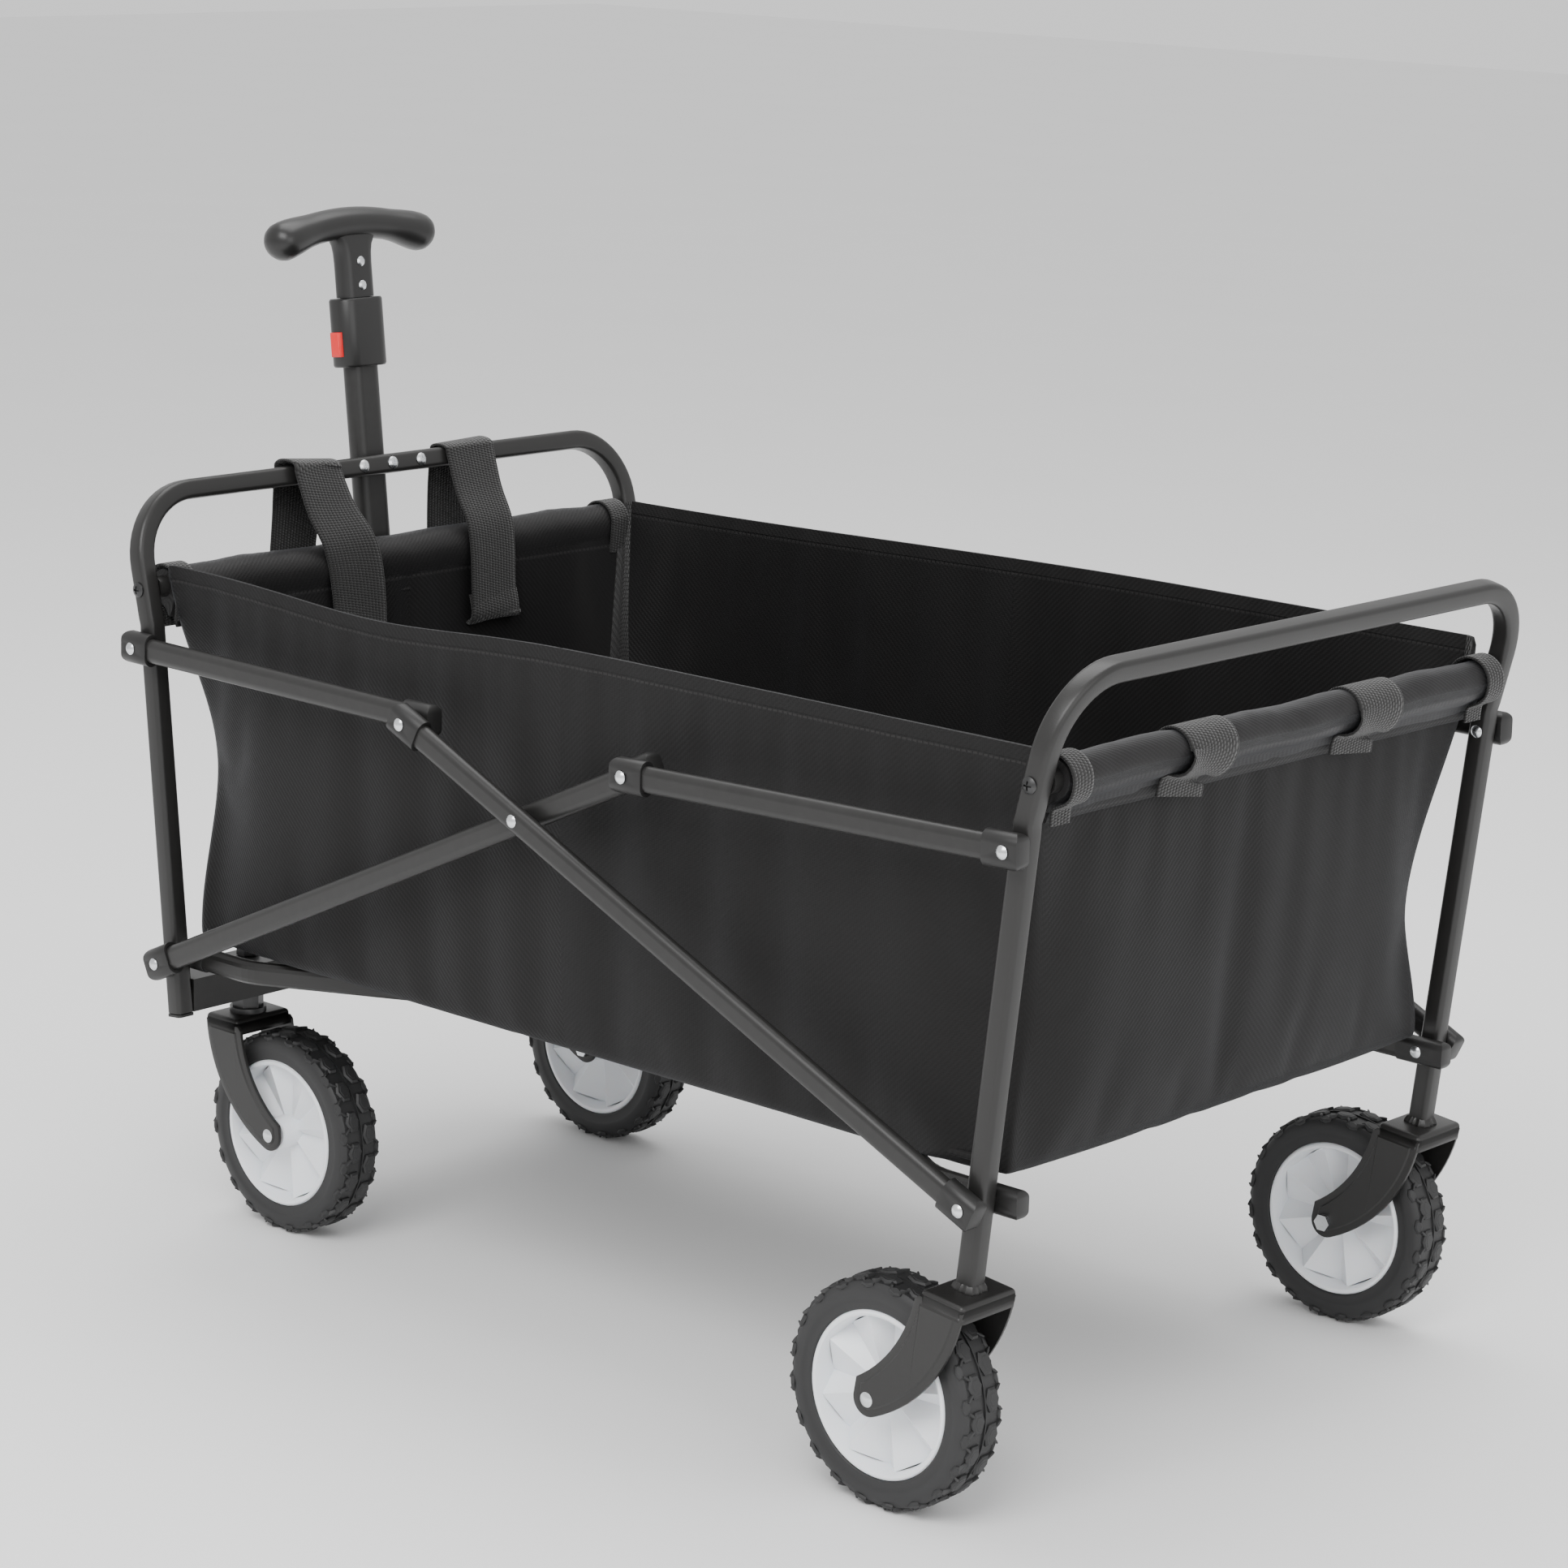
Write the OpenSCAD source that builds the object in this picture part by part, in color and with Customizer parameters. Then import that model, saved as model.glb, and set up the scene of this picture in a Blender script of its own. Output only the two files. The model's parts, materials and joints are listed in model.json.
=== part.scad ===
// Folding wagon with a fabric body and a telescopic pull handle.
// Lengths are in millimetres and angles in degrees. +Z is up, the handle and the swivel casters are at -X,
// and the origin is on the floor under the middle of the overall length, handle included.
// Side pieces are drawn for the +Y side and mirrored; end pieces are drawn for the rear and mirrored.

/* [Wheels] */
// Outer diameter of every wheel
wheel_d = 155; // [130:1:165]
// Width of the tyres
tyre_w = 36; // [28:1:40]
// Diameter of the white rims, where the tyre sits
rim_d = 113; // [90:1:120]
// Diameter of the wheel axles
axle_d = 8; // [6:0.5:10]
// Outer width of the wheel forks
fork_w = 54; // [50:1:60]
// Thickness of the pressed steel of the forks
fork_t = 2.5; // [2:0.1:4]
// Distance from the swivel axis back to the caster axle
caster_trail = 54; // [45:1:60]
// Distance from the rear leg's axis to the rear axle
rear_trail = 50; // [45:1:60]
// Height of the caster neck, between the fork and the crossbar
neck_h = 19; // [16:1:26]
// Distance of each caster from the middle of the wagon
caster_y = 170; // [150:1:175]

/* [Frame] */
// Distance between the centres of the left and right legs
frame_w = 507; // [450:1:600]
// Distance between the front and rear legs, extended down to the floor
frame_gap = 732; // [640:1:860]
// Outer size of the square frame tube
tube_w = 15; // [13:0.5:18]
// Wall of the square frame tube
tube_wall = 1.5; // [1:0.1:2.5]
// Outward lean of the legs
leg_lean = 5.88; // [3:0.1:8]
// Extra outward lean above the bend in each leg
bar_lean = 7.8; // [4:0.1:12]
// Height of the bend in each leg
bend_z = 470; // [462:1:480]
// Height of the two end bars
bar_z = 562; // [550:1:620]
// Centre-line radius of the end frames' corners
corner_r = 52; // [35:1:60]
// Height of the rods that carry the ends of the fabric body
rod_z = 495.3; // [488:0.1:505]
// Diameter of those rods
rod_d = 16; // [12:0.5:18]
// Depth of the crossbar that carries the casters
crossbar_d = 42; // [38:1:50]
// Height of that crossbar
crossbar_h = 25; // [20:1:28]

/* [Folding sides] */
// Height of the lower pivots on the legs
low_z = 219.2; // [215:0.1:230]
// Height of the upper pivots on the legs
high_z = 454.4; // [440:0.1:460]
// Height at which the two diagonals cross
cross_z = 400.9; // [370:0.1:420]
// Distance between the two frames' lower pivots when folded
folded_gap = 130; // [120:1:160]
// Height of the flat-oval side tubes
side_h = 18; // [15:0.5:20]
// Thickness of the flat-oval side tubes
side_t = 11; // [9:0.5:12]
// How far the floor rails bend in from the sides
rail_inset = 75; // [40:1:110]
// Wall of the flat-oval side tubes
side_wall = 1.2; // [0.8:0.1:2]
// Height of the plastic caps on their ends
cap_h = 24; // [20:0.5:28]
// Thickness of those caps
cap_t = 14; // [12.5:0.5:16]
// Length of those caps
cap_len = 27; // [22:1:34]
// Diameter of the pivot rivets
rivet_d = 6; // [4:0.5:8]

/* [Fabric body] */
// Height of the underside of the fabric floor
bag_bottom_z = 232; // [230.5:0.1:240]
// Height of the top edges of the fabric sides
bag_top_z = 510; // [500:1:520]
// Thickness of the fabric walls
bag_t = 3; // [2:0.5:5]
// Diameter of the sleeves round the rods
sleeve_d = 28; // [22:1:32]
// Thickness of the two floor boards
board_t = 5; // [3:0.5:8]
// Width of the two lifting straps
strap_w = 50; // [38:1:60]
// Distance of each strap from the middle of the wagon
strap_y = 80; // [70:1:120]

/* [Handle] */
// Height of the handle's pivot
handle_z = 224; // [220:1:232]
// Forward lean of the stowed handle
handle_lean = 6.7; // [5.7:0.1:8]
// Width of the lower tube
shaft_w = 30; // [26:1:32]
// Thickness of the lower tube
shaft_t = 18; // [15:0.5:18.5]
// Length of the lower tube, from its pivot
shaft_len = 440; // [400:1:460]
// Width of the grip
grip_w = 166; // [130:1:190]
// How far the handle pulls out
handle_travel = 320; // [200:1:330]
// How far the release button is pressed
button_travel = 3; // [2:0.5:3.5]

/* [Hidden] */
$fn = 48;

// Clearances
run_gap = 0.05;      // radial clearance of a pivot or an axle in its bore
slide_gap = 0.3;     // clearance of the sliding handle tube
layer_gap = 1;       // washer space between a leg and the cap beside it
rail_gap = 2.5;      // space between a leg and the rail beside it
fabric_gap = 0.5;    // space round fabric

// From the middle of the overall length to the middle of the folding linkage
mid_x = 25;

// Legs: a straight lower part, a bend at bend_z, and a steeper upper part up to the bar
wheel_r = wheel_d / 2;
leg_y = frame_w / 2;
leg_out = leg_y + tube_w / 2;
leg_in = leg_y - tube_w / 2;
function leg_x(z) = frame_gap / 2 + min(z, bend_z) * tan(leg_lean)
    + max(0, z - bend_z) * tan(leg_lean + bar_lean);
upper_len = (bar_z - bend_z) / cos(leg_lean + bar_lean);
bend_cut = 4;
tube_round = 3;
far = 1000;
bar_screws = [-30, 0, 30];
screw_r = 2;

// Wheels and forks
rear_rise = wheel_r + 11.6;
caster_rise = wheel_r + 5;
rear_foot_z = wheel_r + rear_rise * cos(leg_lean) - rear_trail * sin(leg_lean);
rear_axle_x = leg_x(rear_foot_z) - rear_rise * sin(leg_lean) - rear_trail * cos(leg_lean);
crossbar_z = wheel_r + caster_rise + neck_h;
crossbar_cut = 23;     // the crossbar's outer corners are cut off at 45 degrees
crossbar_in = leg_x(crossbar_z + crossbar_h / 2) - tube_w / 2;
stem_x = crossbar_in + crossbar_d * 0.63;
stem_d = 10;
caster_axle_x = stem_x - caster_trail;
fork_end_r = 12;
crown_half = 18;
crown_skirt = 11;
hub_w = 42;
hub_d = 26;

// Side linkage, as [x, z] points from the middle of the linkage
E = [-leg_x(low_z), low_z];
D = [leg_x(low_z), low_z];
A = [-leg_x(high_z), high_z];
G = [leg_x(high_z), high_z];
C = [0, cross_z];
diagonal = norm(C - E);
fold_C = [0, low_z + sqrt(pow(diagonal, 2) - pow(folded_gap / 2, 2))];
fold_E = [-folded_gap / 2, low_z];
fold_A = fold_E + [0, norm(A - E)];
reach = (C - D) / diagonal;
fold_D = [folded_gap / 2, low_z];
fold_reach = (fold_C - fold_D) / diagonal;
// How far each diagonal runs past the crossing, so that the links fit both open and folded
overrun = (pow(norm(A - C), 2) - pow(norm(fold_A - fold_C), 2))
    / (2 * ((A - C) * reach - (fold_A - fold_C) * fold_reach));
B = C + overrun * reach;
F = [-B[0], B[1]];
cap_tail = 10.5;
cap_round = 5;
socket_x = 6;        // where the socket in a cap starts, from the pivot
tilt_gap = 0.3;      // space under a rivet head for a cap that leans with its member
middle = [0, low_z];
inner_y = leg_out + layer_gap + cap_t / 2;
outer_y = inner_y + cap_t + 3;
cross_y = inner_y + (outer_y - inner_y) * diagonal / (diagonal + overrun);
rivet_r = rivet_d / 2;
head_r = rivet_r + 1.5;
head_h = 2;

// Floor rails
rail_h = side_h;
rail_cap_h = rail_h + 2;
rail_cap_t = side_t + 1.5;
rail_y = leg_in - rail_gap - side_t / 2;
rail_tail = 12;
rear_rail_tail = 22;
rail_bend_r = 45;
rail_mid_y = rail_y - rail_inset;
// How each rail bends inwards: [straight length at the pivot, angle of the bend]
front_rail_bend = [55, 27];
rear_rail_bend = [38, 32];

// Fabric body
bag_y = leg_in - 2.5;
rod_x = leg_x(rod_z);
rod_wall = 1.5;
plug_len = 30;
sleeve_half = leg_in - 8;
wall_top_z = rod_z - 10;
wall_top_x = rod_x - sleeve_d / 2 + bag_t;
wall_low_x = leg_x(bag_bottom_z) + 6;
board_z = bag_bottom_z + bag_t + fabric_gap;
strap_t = 1.6;
bar_x = leg_x(bar_z);

// Handle
handle_x = -419;
shaft_wall = 1.5;
collar_z = 414;
collar_h = 53;
collar_w = 44;
collar_t = 27;
stem_w = 31;
stem_t = 19;
grip_z = 525;
grip_sag = 10;
grip_d = 26;
grip_end_d = 32;
grip_span = grip_w - grip_end_d;
grip_arc_r = (pow(grip_span / 2, 2) + pow(grip_sag, 2)) / (2 * grip_sag);
rivet_steps = [9.5, 28];
button_z = 432;
button_h = 19;
button_t = 11;
button_depth = 5.7;
tube_low = 60;
tube_top = collar_z + collar_h + 34;
pin_d = 8;

// Placing
module placed() { translate([mid_x, 0, 0]) children(); }
module both_sides() { for (side = [0, 1]) mirror([0, side, 0]) children(); }
module left() { mirror([0, 1, 0]) children(); }
module front() { mirror([1, 0, 0]) children(); }
module in_handle() { translate([handle_x, 0, handle_z]) rotate([0, -handle_lean, 0]) children(); }
module on_bar() { translate([bar_x, 0, bar_z]) rotate([0, leg_lean + bar_lean, 0]) children(); }

// A round bar or bore along +Y through the side plane at point p
module across(p, y_from, y_to, r) {
    translate([p[0], y_from, p[1]]) rotate([-90, 0, 0]) cylinder(h = y_to - y_from, r = r);
}

// Local +X runs from point p to point q of the side plane
module along(p, q, y_p, y_q) {
    translate([p[0], y_p, p[1]])
        rotate([0, -atan2(q[1] - p[1], q[0] - p[0]), 0])
        rotate([0, 0, atan2(y_q - y_p, norm(q - p))])
        children();
}

// A domed rivet head on the outer side of y, or on the inner side when outward is -1
module rivet_head(p, y, outward) {
    dome_r = (pow(head_r, 2) + pow(head_h, 2)) / (2 * head_h);
    intersection() {
        translate([p[0], y - outward * (dome_r - head_h), p[1]]) sphere(r = dome_r);
        across(p, min(y, y + outward * head_h), max(y, y + outward * head_h), head_r);
    }
}

module rivet(p, y_from, y_to) {
    union() {
        across(p, y_from, y_to, rivet_r);
        rivet_head(p, y_to, 1);
        rivet_head(p, y_from, -1);
    }
}

// Sections
module square_section(w, r) {
    union() {
        square([w, w - 2 * r], center = true);
        square([w - 2 * r, w], center = true);
        for (sx = [-1, 1], sy = [-1, 1]) translate([sx * (w / 2 - r), sy * (w / 2 - r)]) circle(r = r);
    }
}

// A flat oval, t wide in x and h long in y
module oval(h, t) {
    union() {
        square([t, h - t], center = true);
        for (s = [-1, 1]) translate([0, s * (h - t) / 2]) circle(d = t);
    }
}

module oval_bar(h, t, length) { rotate([90, 0, 90]) linear_extrude(length) oval(h, t); }

// Points round a rounded square of width w, anticlockwise
function square_ring(w, r) = [for (quarter = [0 : 3], k = [0 : 3]) let (
        turn = 90 * quarter,
        a = turn + 30 * k,
        corner = (w / 2 - r) * [cos(turn) - sin(turn), sin(turn) + cos(turn)])
    corner + r * [cos(a), sin(a)]];

// Stations along the frame tube, each [point, lean, turn], from the foot through the bend to the bar
function station(up, y, lean, turn) =
    [[leg_x(bend_z) + up * sin(lean), y, bend_z + up * cos(lean)], lean, turn];
function frame_stations(foot_z) = concat(
    [for (up = [(foot_z - bend_z) / cos(leg_lean), -bend_cut]) station(up, leg_y, leg_lean, 0)],
    [station(bend_cut, leg_y, leg_lean + bar_lean, 0)],
    [for (turn = [0 : 11.25 : 90]) station(upper_len - corner_r * (1 - sin(turn)),
        leg_y - corner_r * (1 - cos(turn)), leg_lean + bar_lean, turn)]);

// A section point q stood up at a station
function stood(s, q) = let (side = q[1] * cos(s[2]), up = q[1] * sin(s[2])) s[0]
    + [q[0] * cos(s[1]) + up * sin(s[1]), side, up * cos(s[1]) - q[0] * sin(s[1])];
function frame_rings(foot_z, w, r) = let (half = [for (s = frame_stations(foot_z))
        [for (q = square_ring(w, r)) stood(s, q)]])
    concat(half, [for (k = [len(half) - 1 : -1 : 0]) [for (v = half[k]) [v[0], -v[1], v[2]]]]);

// A hollow tube through outer and inner rings of points, open at both ends
module swept_tube(outer, inner) {
    m = len(outer[0]);
    n = len(outer);
    skins = [0, n * m];
    polyhedron(concat([for (one = outer) each one], [for (one = inner) each one]), [
        for (skin = skins, i = [0 : n - 2], k = [0 : m - 1]) let (
                j = (k + 1) % m, a = skin + i * m, b = skin + (i + 1) * m)
            each skin == 0 ? [[a + k, b + k, b + j], [a + k, b + j, a + j]]
                : [[a + k, b + j, b + k], [a + k, a + j, b + j]],
        for (i = [0, n - 1], k = [0 : m - 1]) let (j = (k + 1) % m, a = i * m, b = n * m + i * m)
            each i == 0 ? [[a + k, a + j, b + j], [a + k, b + j, b + k]]
                : [[a + k, b + j, a + j], [a + k, b + k, b + j]]]);
}

// An end frame: a hollow square tube whose legs stop at foot_z, with its pivot and screw bores
module end_frame(foot_z, bar_bores) {
    difference() {
        swept_tube(frame_rings(foot_z, tube_w, tube_round),
            frame_rings(foot_z, tube_w - 2 * tube_wall, tube_round - tube_wall));
        both_sides() across(D, leg_in - 1, leg_out + 1, rivet_r);
        both_sides() across(G, leg_in - 1, leg_out + 1, rivet_r);
        both_sides() across([rod_x, rod_z], leg_in - 1, leg_out + 1, 2.5);
        for (y = bar_bores)
            on_bar() translate([-tube_w, y, 0]) rotate([0, 90, 0]) cylinder(h = 2 * tube_w, r = screw_r);
    }
}

module front_frame_tube() {
    color([0.10, 0.10, 0.10]) placed() front() end_frame(crossbar_z, bar_screws);
}

module rear_frame_tube() {
    color([0.10, 0.10, 0.10]) placed() end_frame(rear_foot_z, []);
}

module sleeve_rod() {
    difference() {
        across([rod_x, rod_z], -leg_in, leg_in, rod_d / 2);
        across([rod_x, rod_z], -leg_in - 1, leg_in + 1, rod_d / 2 - rod_wall);
    }
}

module rod_plugs() {
    both_sides() difference() {
        across([rod_x, rod_z], leg_in - plug_len, leg_in, rod_d / 2 - rod_wall);
        across([rod_x, rod_z], leg_in - plug_len - 1, leg_in + 1, 2.5);
    }
}

// Pan-head screws with a cross recess, through the legs into the rods
module rod_screws() {
    both_sides() difference() {
        union() {
            across([rod_x, rod_z], leg_in - 20, leg_out, 2.5);
            intersection() {
                translate([rod_x, leg_out - 6, rod_z]) sphere(r = 9);
                across([rod_x, rod_z], leg_out, leg_out + 3, 5.5);
            }
        }
        for (turn = [0, 90])
            translate([rod_x, leg_out + 2.4, rod_z]) rotate([0, turn, 0]) cube([6, 2.4, 1.2], center = true);
    }
}

module front_sleeve_rod() { color("dimgray") placed() front() sleeve_rod(); }
module rear_sleeve_rod() { color("dimgray") placed() sleeve_rod(); }
module front_rod_plugs() { color("gray") placed() front() rod_plugs(); }
module rear_rod_plugs() { color("gray") placed() rod_plugs(); }
module front_rod_screws() { color([0.2, 0.2, 0.2]) placed() front() rod_screws(); }
module rear_rod_screws() { color([0.2, 0.2, 0.2]) placed() rod_screws(); }

// Two solid-headed rivets a side: the lower one also carries the floor rail
module pivot_rivets() {
    both_sides() {
        rivet(D, rail_y - side_t / 2 - 1, inner_y + cap_t / 2 + tilt_gap);
        rivet(G, leg_in, inner_y + cap_t / 2 + tilt_gap);
    }
}

module front_pivot_rivets() { color("silver") placed() front() pivot_rivets(); }
module rear_pivot_rivets() { color("silver") placed() pivot_rivets(); }

module front_crossbar() {
    color([0.10, 0.10, 0.10]) placed() front() difference() {
        translate([crossbar_in, -leg_in, crossbar_z]) cube([crossbar_d, 2 * leg_in, crossbar_h]);
        translate([crossbar_in + 2, -leg_in - 1, crossbar_z + 2])
            cube([crossbar_d - 4, 2 * leg_in + 2, crossbar_h - 4]);
        for (y = [-leg_in, leg_in])
            translate([crossbar_in + crossbar_d, y, crossbar_z]) rotate([0, 0, 45])
                cube([crossbar_cut, crossbar_cut, 3 * crossbar_h], center = true);
        for (y = [-caster_y, caster_y])
            translate([stem_x, y, crossbar_z - 1]) cylinder(h = crossbar_h + 2, r = stem_d / 2 + run_gap);
    }
}

module front_leg_caps() {
    plug = tube_w - 2 * tube_wall - 2 * slide_gap;
    color([0.08, 0.08, 0.08]) placed() front() both_sides() difference() {
        translate([leg_x(crossbar_z), leg_y, crossbar_z]) rotate([0, leg_lean, 0]) union() {
            translate([0, 0, -2.8]) linear_extrude(2) square_section(tube_w, tube_round);
            translate([0, 0, -0.8]) linear_extrude(14) square_section(plug, tube_round - tube_wall);
        }
        translate([leg_x(crossbar_z), leg_y, crossbar_z + 1.2]) rotate([0, leg_lean, 0])
            linear_extrude(20) square_section(plug - 4, 1);
    }
}

// Side view of a fork plate: a swept arm between two arcs, round at the axle
module fork_plate(trail, rise) {
    arm_reach = trail + crown_half - fork_end_r;
    sweep_z = rise + 6;
    sweep_x = (pow(sweep_z, 2) - pow(arm_reach, 2)) / (2 * arm_reach);
    union() {
        circle(r = fork_end_r);
        difference() {
            intersection() {
                translate([-sweep_x, sweep_z]) circle(r = sweep_x + trail + crown_half, $fn = 180);
                polygon([[0.47 * fork_end_r, -0.88 * fork_end_r], [trail + 2 * crown_half, 0],
                    [trail + 2 * crown_half, rise], [1 - fork_end_r, rise], [-fork_end_r, 2]]);
            }
            translate([-sweep_x - 20, sweep_z - 2]) circle(r = sweep_x + trail - 1, $fn = 180);
        }
    }
}

// One wheel fork in its own frame: the axle at the origin along Y, the crown up and at +X
module fork(trail, rise) {
    crown_y = fork_w / 2;
    difference() {
        union() {
            for (side = [-1, 1]) translate([0, side * (crown_y - fork_t / 2), 0])
                rotate([90, 0, 0]) linear_extrude(fork_t, center = true) fork_plate(trail, rise);
            translate([trail - crown_half, -crown_y, rise - fork_t]) cube([2 * crown_half, fork_w, fork_t]);
            for (x = [trail - crown_half, trail + crown_half - fork_t])
                translate([x, -crown_y, rise - crown_skirt]) cube([fork_t, fork_w, crown_skirt]);
        }
        rotate([90, 0, 0]) cylinder(h = fork_w + 2, r = axle_d / 2, center = true);
        translate([trail, 0, rise - 5]) cylinder(h = 10, r = stem_d / 2);
    }
}

// A shoulder axle with a domed head outside and a nut inside
module axle() {
    outer = fork_w / 2;
    dome_r = 9;
    union() {
        rotate([90, 0, 0]) cylinder(h = fork_w, r = axle_d / 2, center = true);
        intersection() {
            translate([0, outer + 2.5 - dome_r, 0]) sphere(r = dome_r);
            translate([0, outer, 0]) rotate([-90, 0, 0]) cylinder(h = 3, r = axle_d / 2 + 1.6);
        }
        translate([0, -outer - 4.5, 0]) rotate([-90, 0, 0]) cylinder(h = 4.5, r = axle_d / 2 + 2.5, $fn = 6);
    }
}

module tyre() {
    shoulder = 7;
    rotate([90, 0, 0]) rotate_extrude($fn = 120) union() {
        translate([rim_d / 2, -tyre_w / 2]) square([wheel_r - rim_d / 2 - shoulder, tyre_w]);
        translate([rim_d / 2, -tyre_w / 2 + shoulder]) square([wheel_r - rim_d / 2, tyre_w - 2 * shoulder]);
        for (s = [-1, 1]) translate([wheel_r - shoulder, s * (tyre_w / 2 - shoulder)]) circle(r = shoulder);
    }
}

module rim() {
    barrel = 4.5;
    barrel_w = tyre_w - 4;
    spokes = 8;
    difference() {
        rotate([90, 0, 0]) union() {
            difference() {
                cylinder(h = barrel_w, d = rim_d, center = true, $fn = 120);
                cylinder(h = barrel_w + 2, d = rim_d - 2 * barrel, center = true, $fn = 120);
            }
            cylinder(h = 4, d = rim_d - barrel, center = true, $fn = 120);
            cylinder(h = hub_w, d = hub_d, center = true);
            for (n = [0 : spokes - 1]) rotate([0, 0, n * 360 / spokes])
                translate([hub_d / 2 - 2, -1.5, -barrel_w / 2 + 3])
                    cube([rim_d / 2 - barrel - hub_d / 2 + 3, 3, barrel_w - 6]);
        }
        rotate([90, 0, 0]) cylinder(h = hub_w + 2, r = axle_d / 2 + run_gap, center = true);
    }
}

// Where the wheels and forks stand
module at_rear() { placed() translate([rear_axle_x, leg_y, wheel_r]) children(); }
module at_front() { placed() translate([-caster_axle_x, caster_y, wheel_r]) children(); }

module rear_forks() {
    color([0.10, 0.10, 0.10]) both_sides() at_rear() rotate([0, leg_lean, 0]) fork(rear_trail, rear_rise);
}
module rear_axles() { color("silver") both_sides() at_rear() axle(); }

module caster_fork() {
    at_front() mirror([1, 0, 0]) fork(caster_trail, caster_rise);
}

// A swivel bolt with its head under the crown, a hexagon neck, and a lock nut on the crossbar
module caster_stem() {
    crown_z = wheel_r + caster_rise;
    top_z = crossbar_z + crossbar_h;
    placed() translate([-stem_x, caster_y, 0]) union() {
        translate([0, 0, crown_z - fork_t]) cylinder(h = top_z + 7 - crown_z + fork_t, r = stem_d / 2);
        translate([0, 0, crown_z - fork_t - 3.5]) cylinder(h = 3.5, r = stem_d / 2 + 3);
        translate([0, 0, crown_z]) cylinder(h = 4, r = 14);
        translate([0, 0, crown_z + 4]) cylinder(h = neck_h - 5, r = 12, $fn = 6);
        translate([0, 0, top_z + 0.5]) cylinder(h = 6, r = 9, $fn = 6);
    }
}

module caster_fork_left() { color([0.10, 0.10, 0.10]) left() caster_fork(); }
module caster_fork_right() { color([0.10, 0.10, 0.10]) caster_fork(); }
module caster_stem_left() { color([0.15, 0.15, 0.15]) left() caster_stem(); }
module caster_stem_right() { color([0.15, 0.15, 0.15]) caster_stem(); }
module caster_axle_left() { color("silver") left() at_front() axle(); }
module caster_axle_right() { color("silver") at_front() axle(); }
module tyre_front_left() { color([0.08, 0.08, 0.08]) left() at_front() tyre(); }
module tyre_front_right() { color([0.08, 0.08, 0.08]) at_front() tyre(); }
module tyre_rear_left() { color([0.08, 0.08, 0.08]) left() at_rear() tyre(); }
module tyre_rear_right() { color([0.08, 0.08, 0.08]) at_rear() tyre(); }
module rim_front_left() { color("white") left() at_front() rim(); }
module rim_front_right() { color("white") at_front() rim(); }
module rim_rear_left() { color("white") left() at_rear() rim(); }
module rim_rear_right() { color("white") at_rear() rim(); }

// The tube of a side member, from pivot p to pivot q, set back inside the caps or run past the pivot
module member_tube(p, q, y_p, y_q, tail_p, tail_q) {
    along(p, q, y_p, y_q) translate([-tail_p, 0, 0]) difference() {
        oval_bar(side_h, side_t, norm(q - p) + tail_p + tail_q);
        translate([-1, 0, 0]) oval_bar(side_h - 2 * side_wall, side_t - 2 * side_wall,
            norm(q - p) + tail_p + tail_q + 2);
    }
}

// A plastic end cap: its pivot at the origin, its member leaving along +X, its end rounded
module cap(h, t, tail, length) {
    difference() {
        intersection() {
            translate([-tail, 0, 0]) oval_bar(h, t, length);
            rotate([90, 0, 0]) linear_extrude(t + 2, center = true) union() {
                translate([cap_round - tail, -h / 2]) square([length, h]);
                translate([-tail, cap_round - h / 2]) square([length, h - 2 * cap_round]);
                for (s = [-1, 1]) translate([cap_round - tail, s * (h / 2 - cap_round)]) circle(r = cap_round);
            }
        }
        translate([socket_x, 0, 0]) oval_bar(side_h, side_t, length);
    }
}

// Both caps of a member, bored for their rivets
module member_caps(p, q, y_p, y_q) {
    difference() {
        union() {
            along(p, q, y_p, y_q) cap(cap_h, cap_t, cap_tail, cap_len);
            along(q, p, y_q, y_p) cap(cap_h, cap_t, cap_tail, cap_len);
        }
        across(p, inner_y - cap_t, outer_y + cap_t, rivet_r + run_gap);
        across(q, inner_y - cap_t, outer_y + cap_t, rivet_r + run_gap);
    }
}

module lower_diagonal_tubes() {
    color([0.12, 0.12, 0.12]) placed() both_sides() difference() {
        member_tube(E, F, inner_y, inner_y, -socket_x, -socket_x);
        across(C, inner_y - cap_t, outer_y + cap_t, rivet_r);
        across(E, inner_y - cap_t, outer_y + cap_t, rivet_r + run_gap);
        across(F, inner_y - cap_t, outer_y + cap_t, rivet_r + run_gap);
    }
}
module lower_diagonal_caps() {
    color([0.08, 0.08, 0.08]) placed() both_sides() member_caps(E, F, inner_y, inner_y);
}
module cross_rivets() {
    color("silver") placed() both_sides() rivet(C, inner_y - side_t / 2, cross_y + side_t / 2 + 0.3);
}

module upper_diagonal_tubes() {
    color([0.12, 0.12, 0.12]) placed() both_sides() difference() {
        member_tube(D, B, inner_y, outer_y, -socket_x, -socket_x);
        across(C, inner_y - cap_t, outer_y + cap_t, rivet_r + run_gap);
        across(D, inner_y - cap_t, outer_y + cap_t, rivet_r + run_gap);
        across(B, inner_y - cap_t, outer_y + cap_t, rivet_r + run_gap);
    }
}
module upper_diagonal_caps() {
    color([0.08, 0.08, 0.08]) placed() both_sides() member_caps(D, B, inner_y, outer_y);
}

// The rivets of the two opened pivots stop just short of the inner member
module upper_diagonal_rivets() {
    color("silver") placed() both_sides() union() {
        across(B, outer_y - cap_t / 2 - 1, outer_y + cap_t / 2 + 0.3, rivet_r);
        rivet_head(B, outer_y + cap_t / 2 + 0.3, 1);
    }
}
module rear_link_rivets() {
    color("silver") placed() both_sides() union() {
        across(F, outer_y - cap_t / 2 - 1, outer_y + cap_t / 2 + 0.6, rivet_r);
        rivet_head(F, outer_y + cap_t / 2 + 0.6, 1);
    }
}

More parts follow.
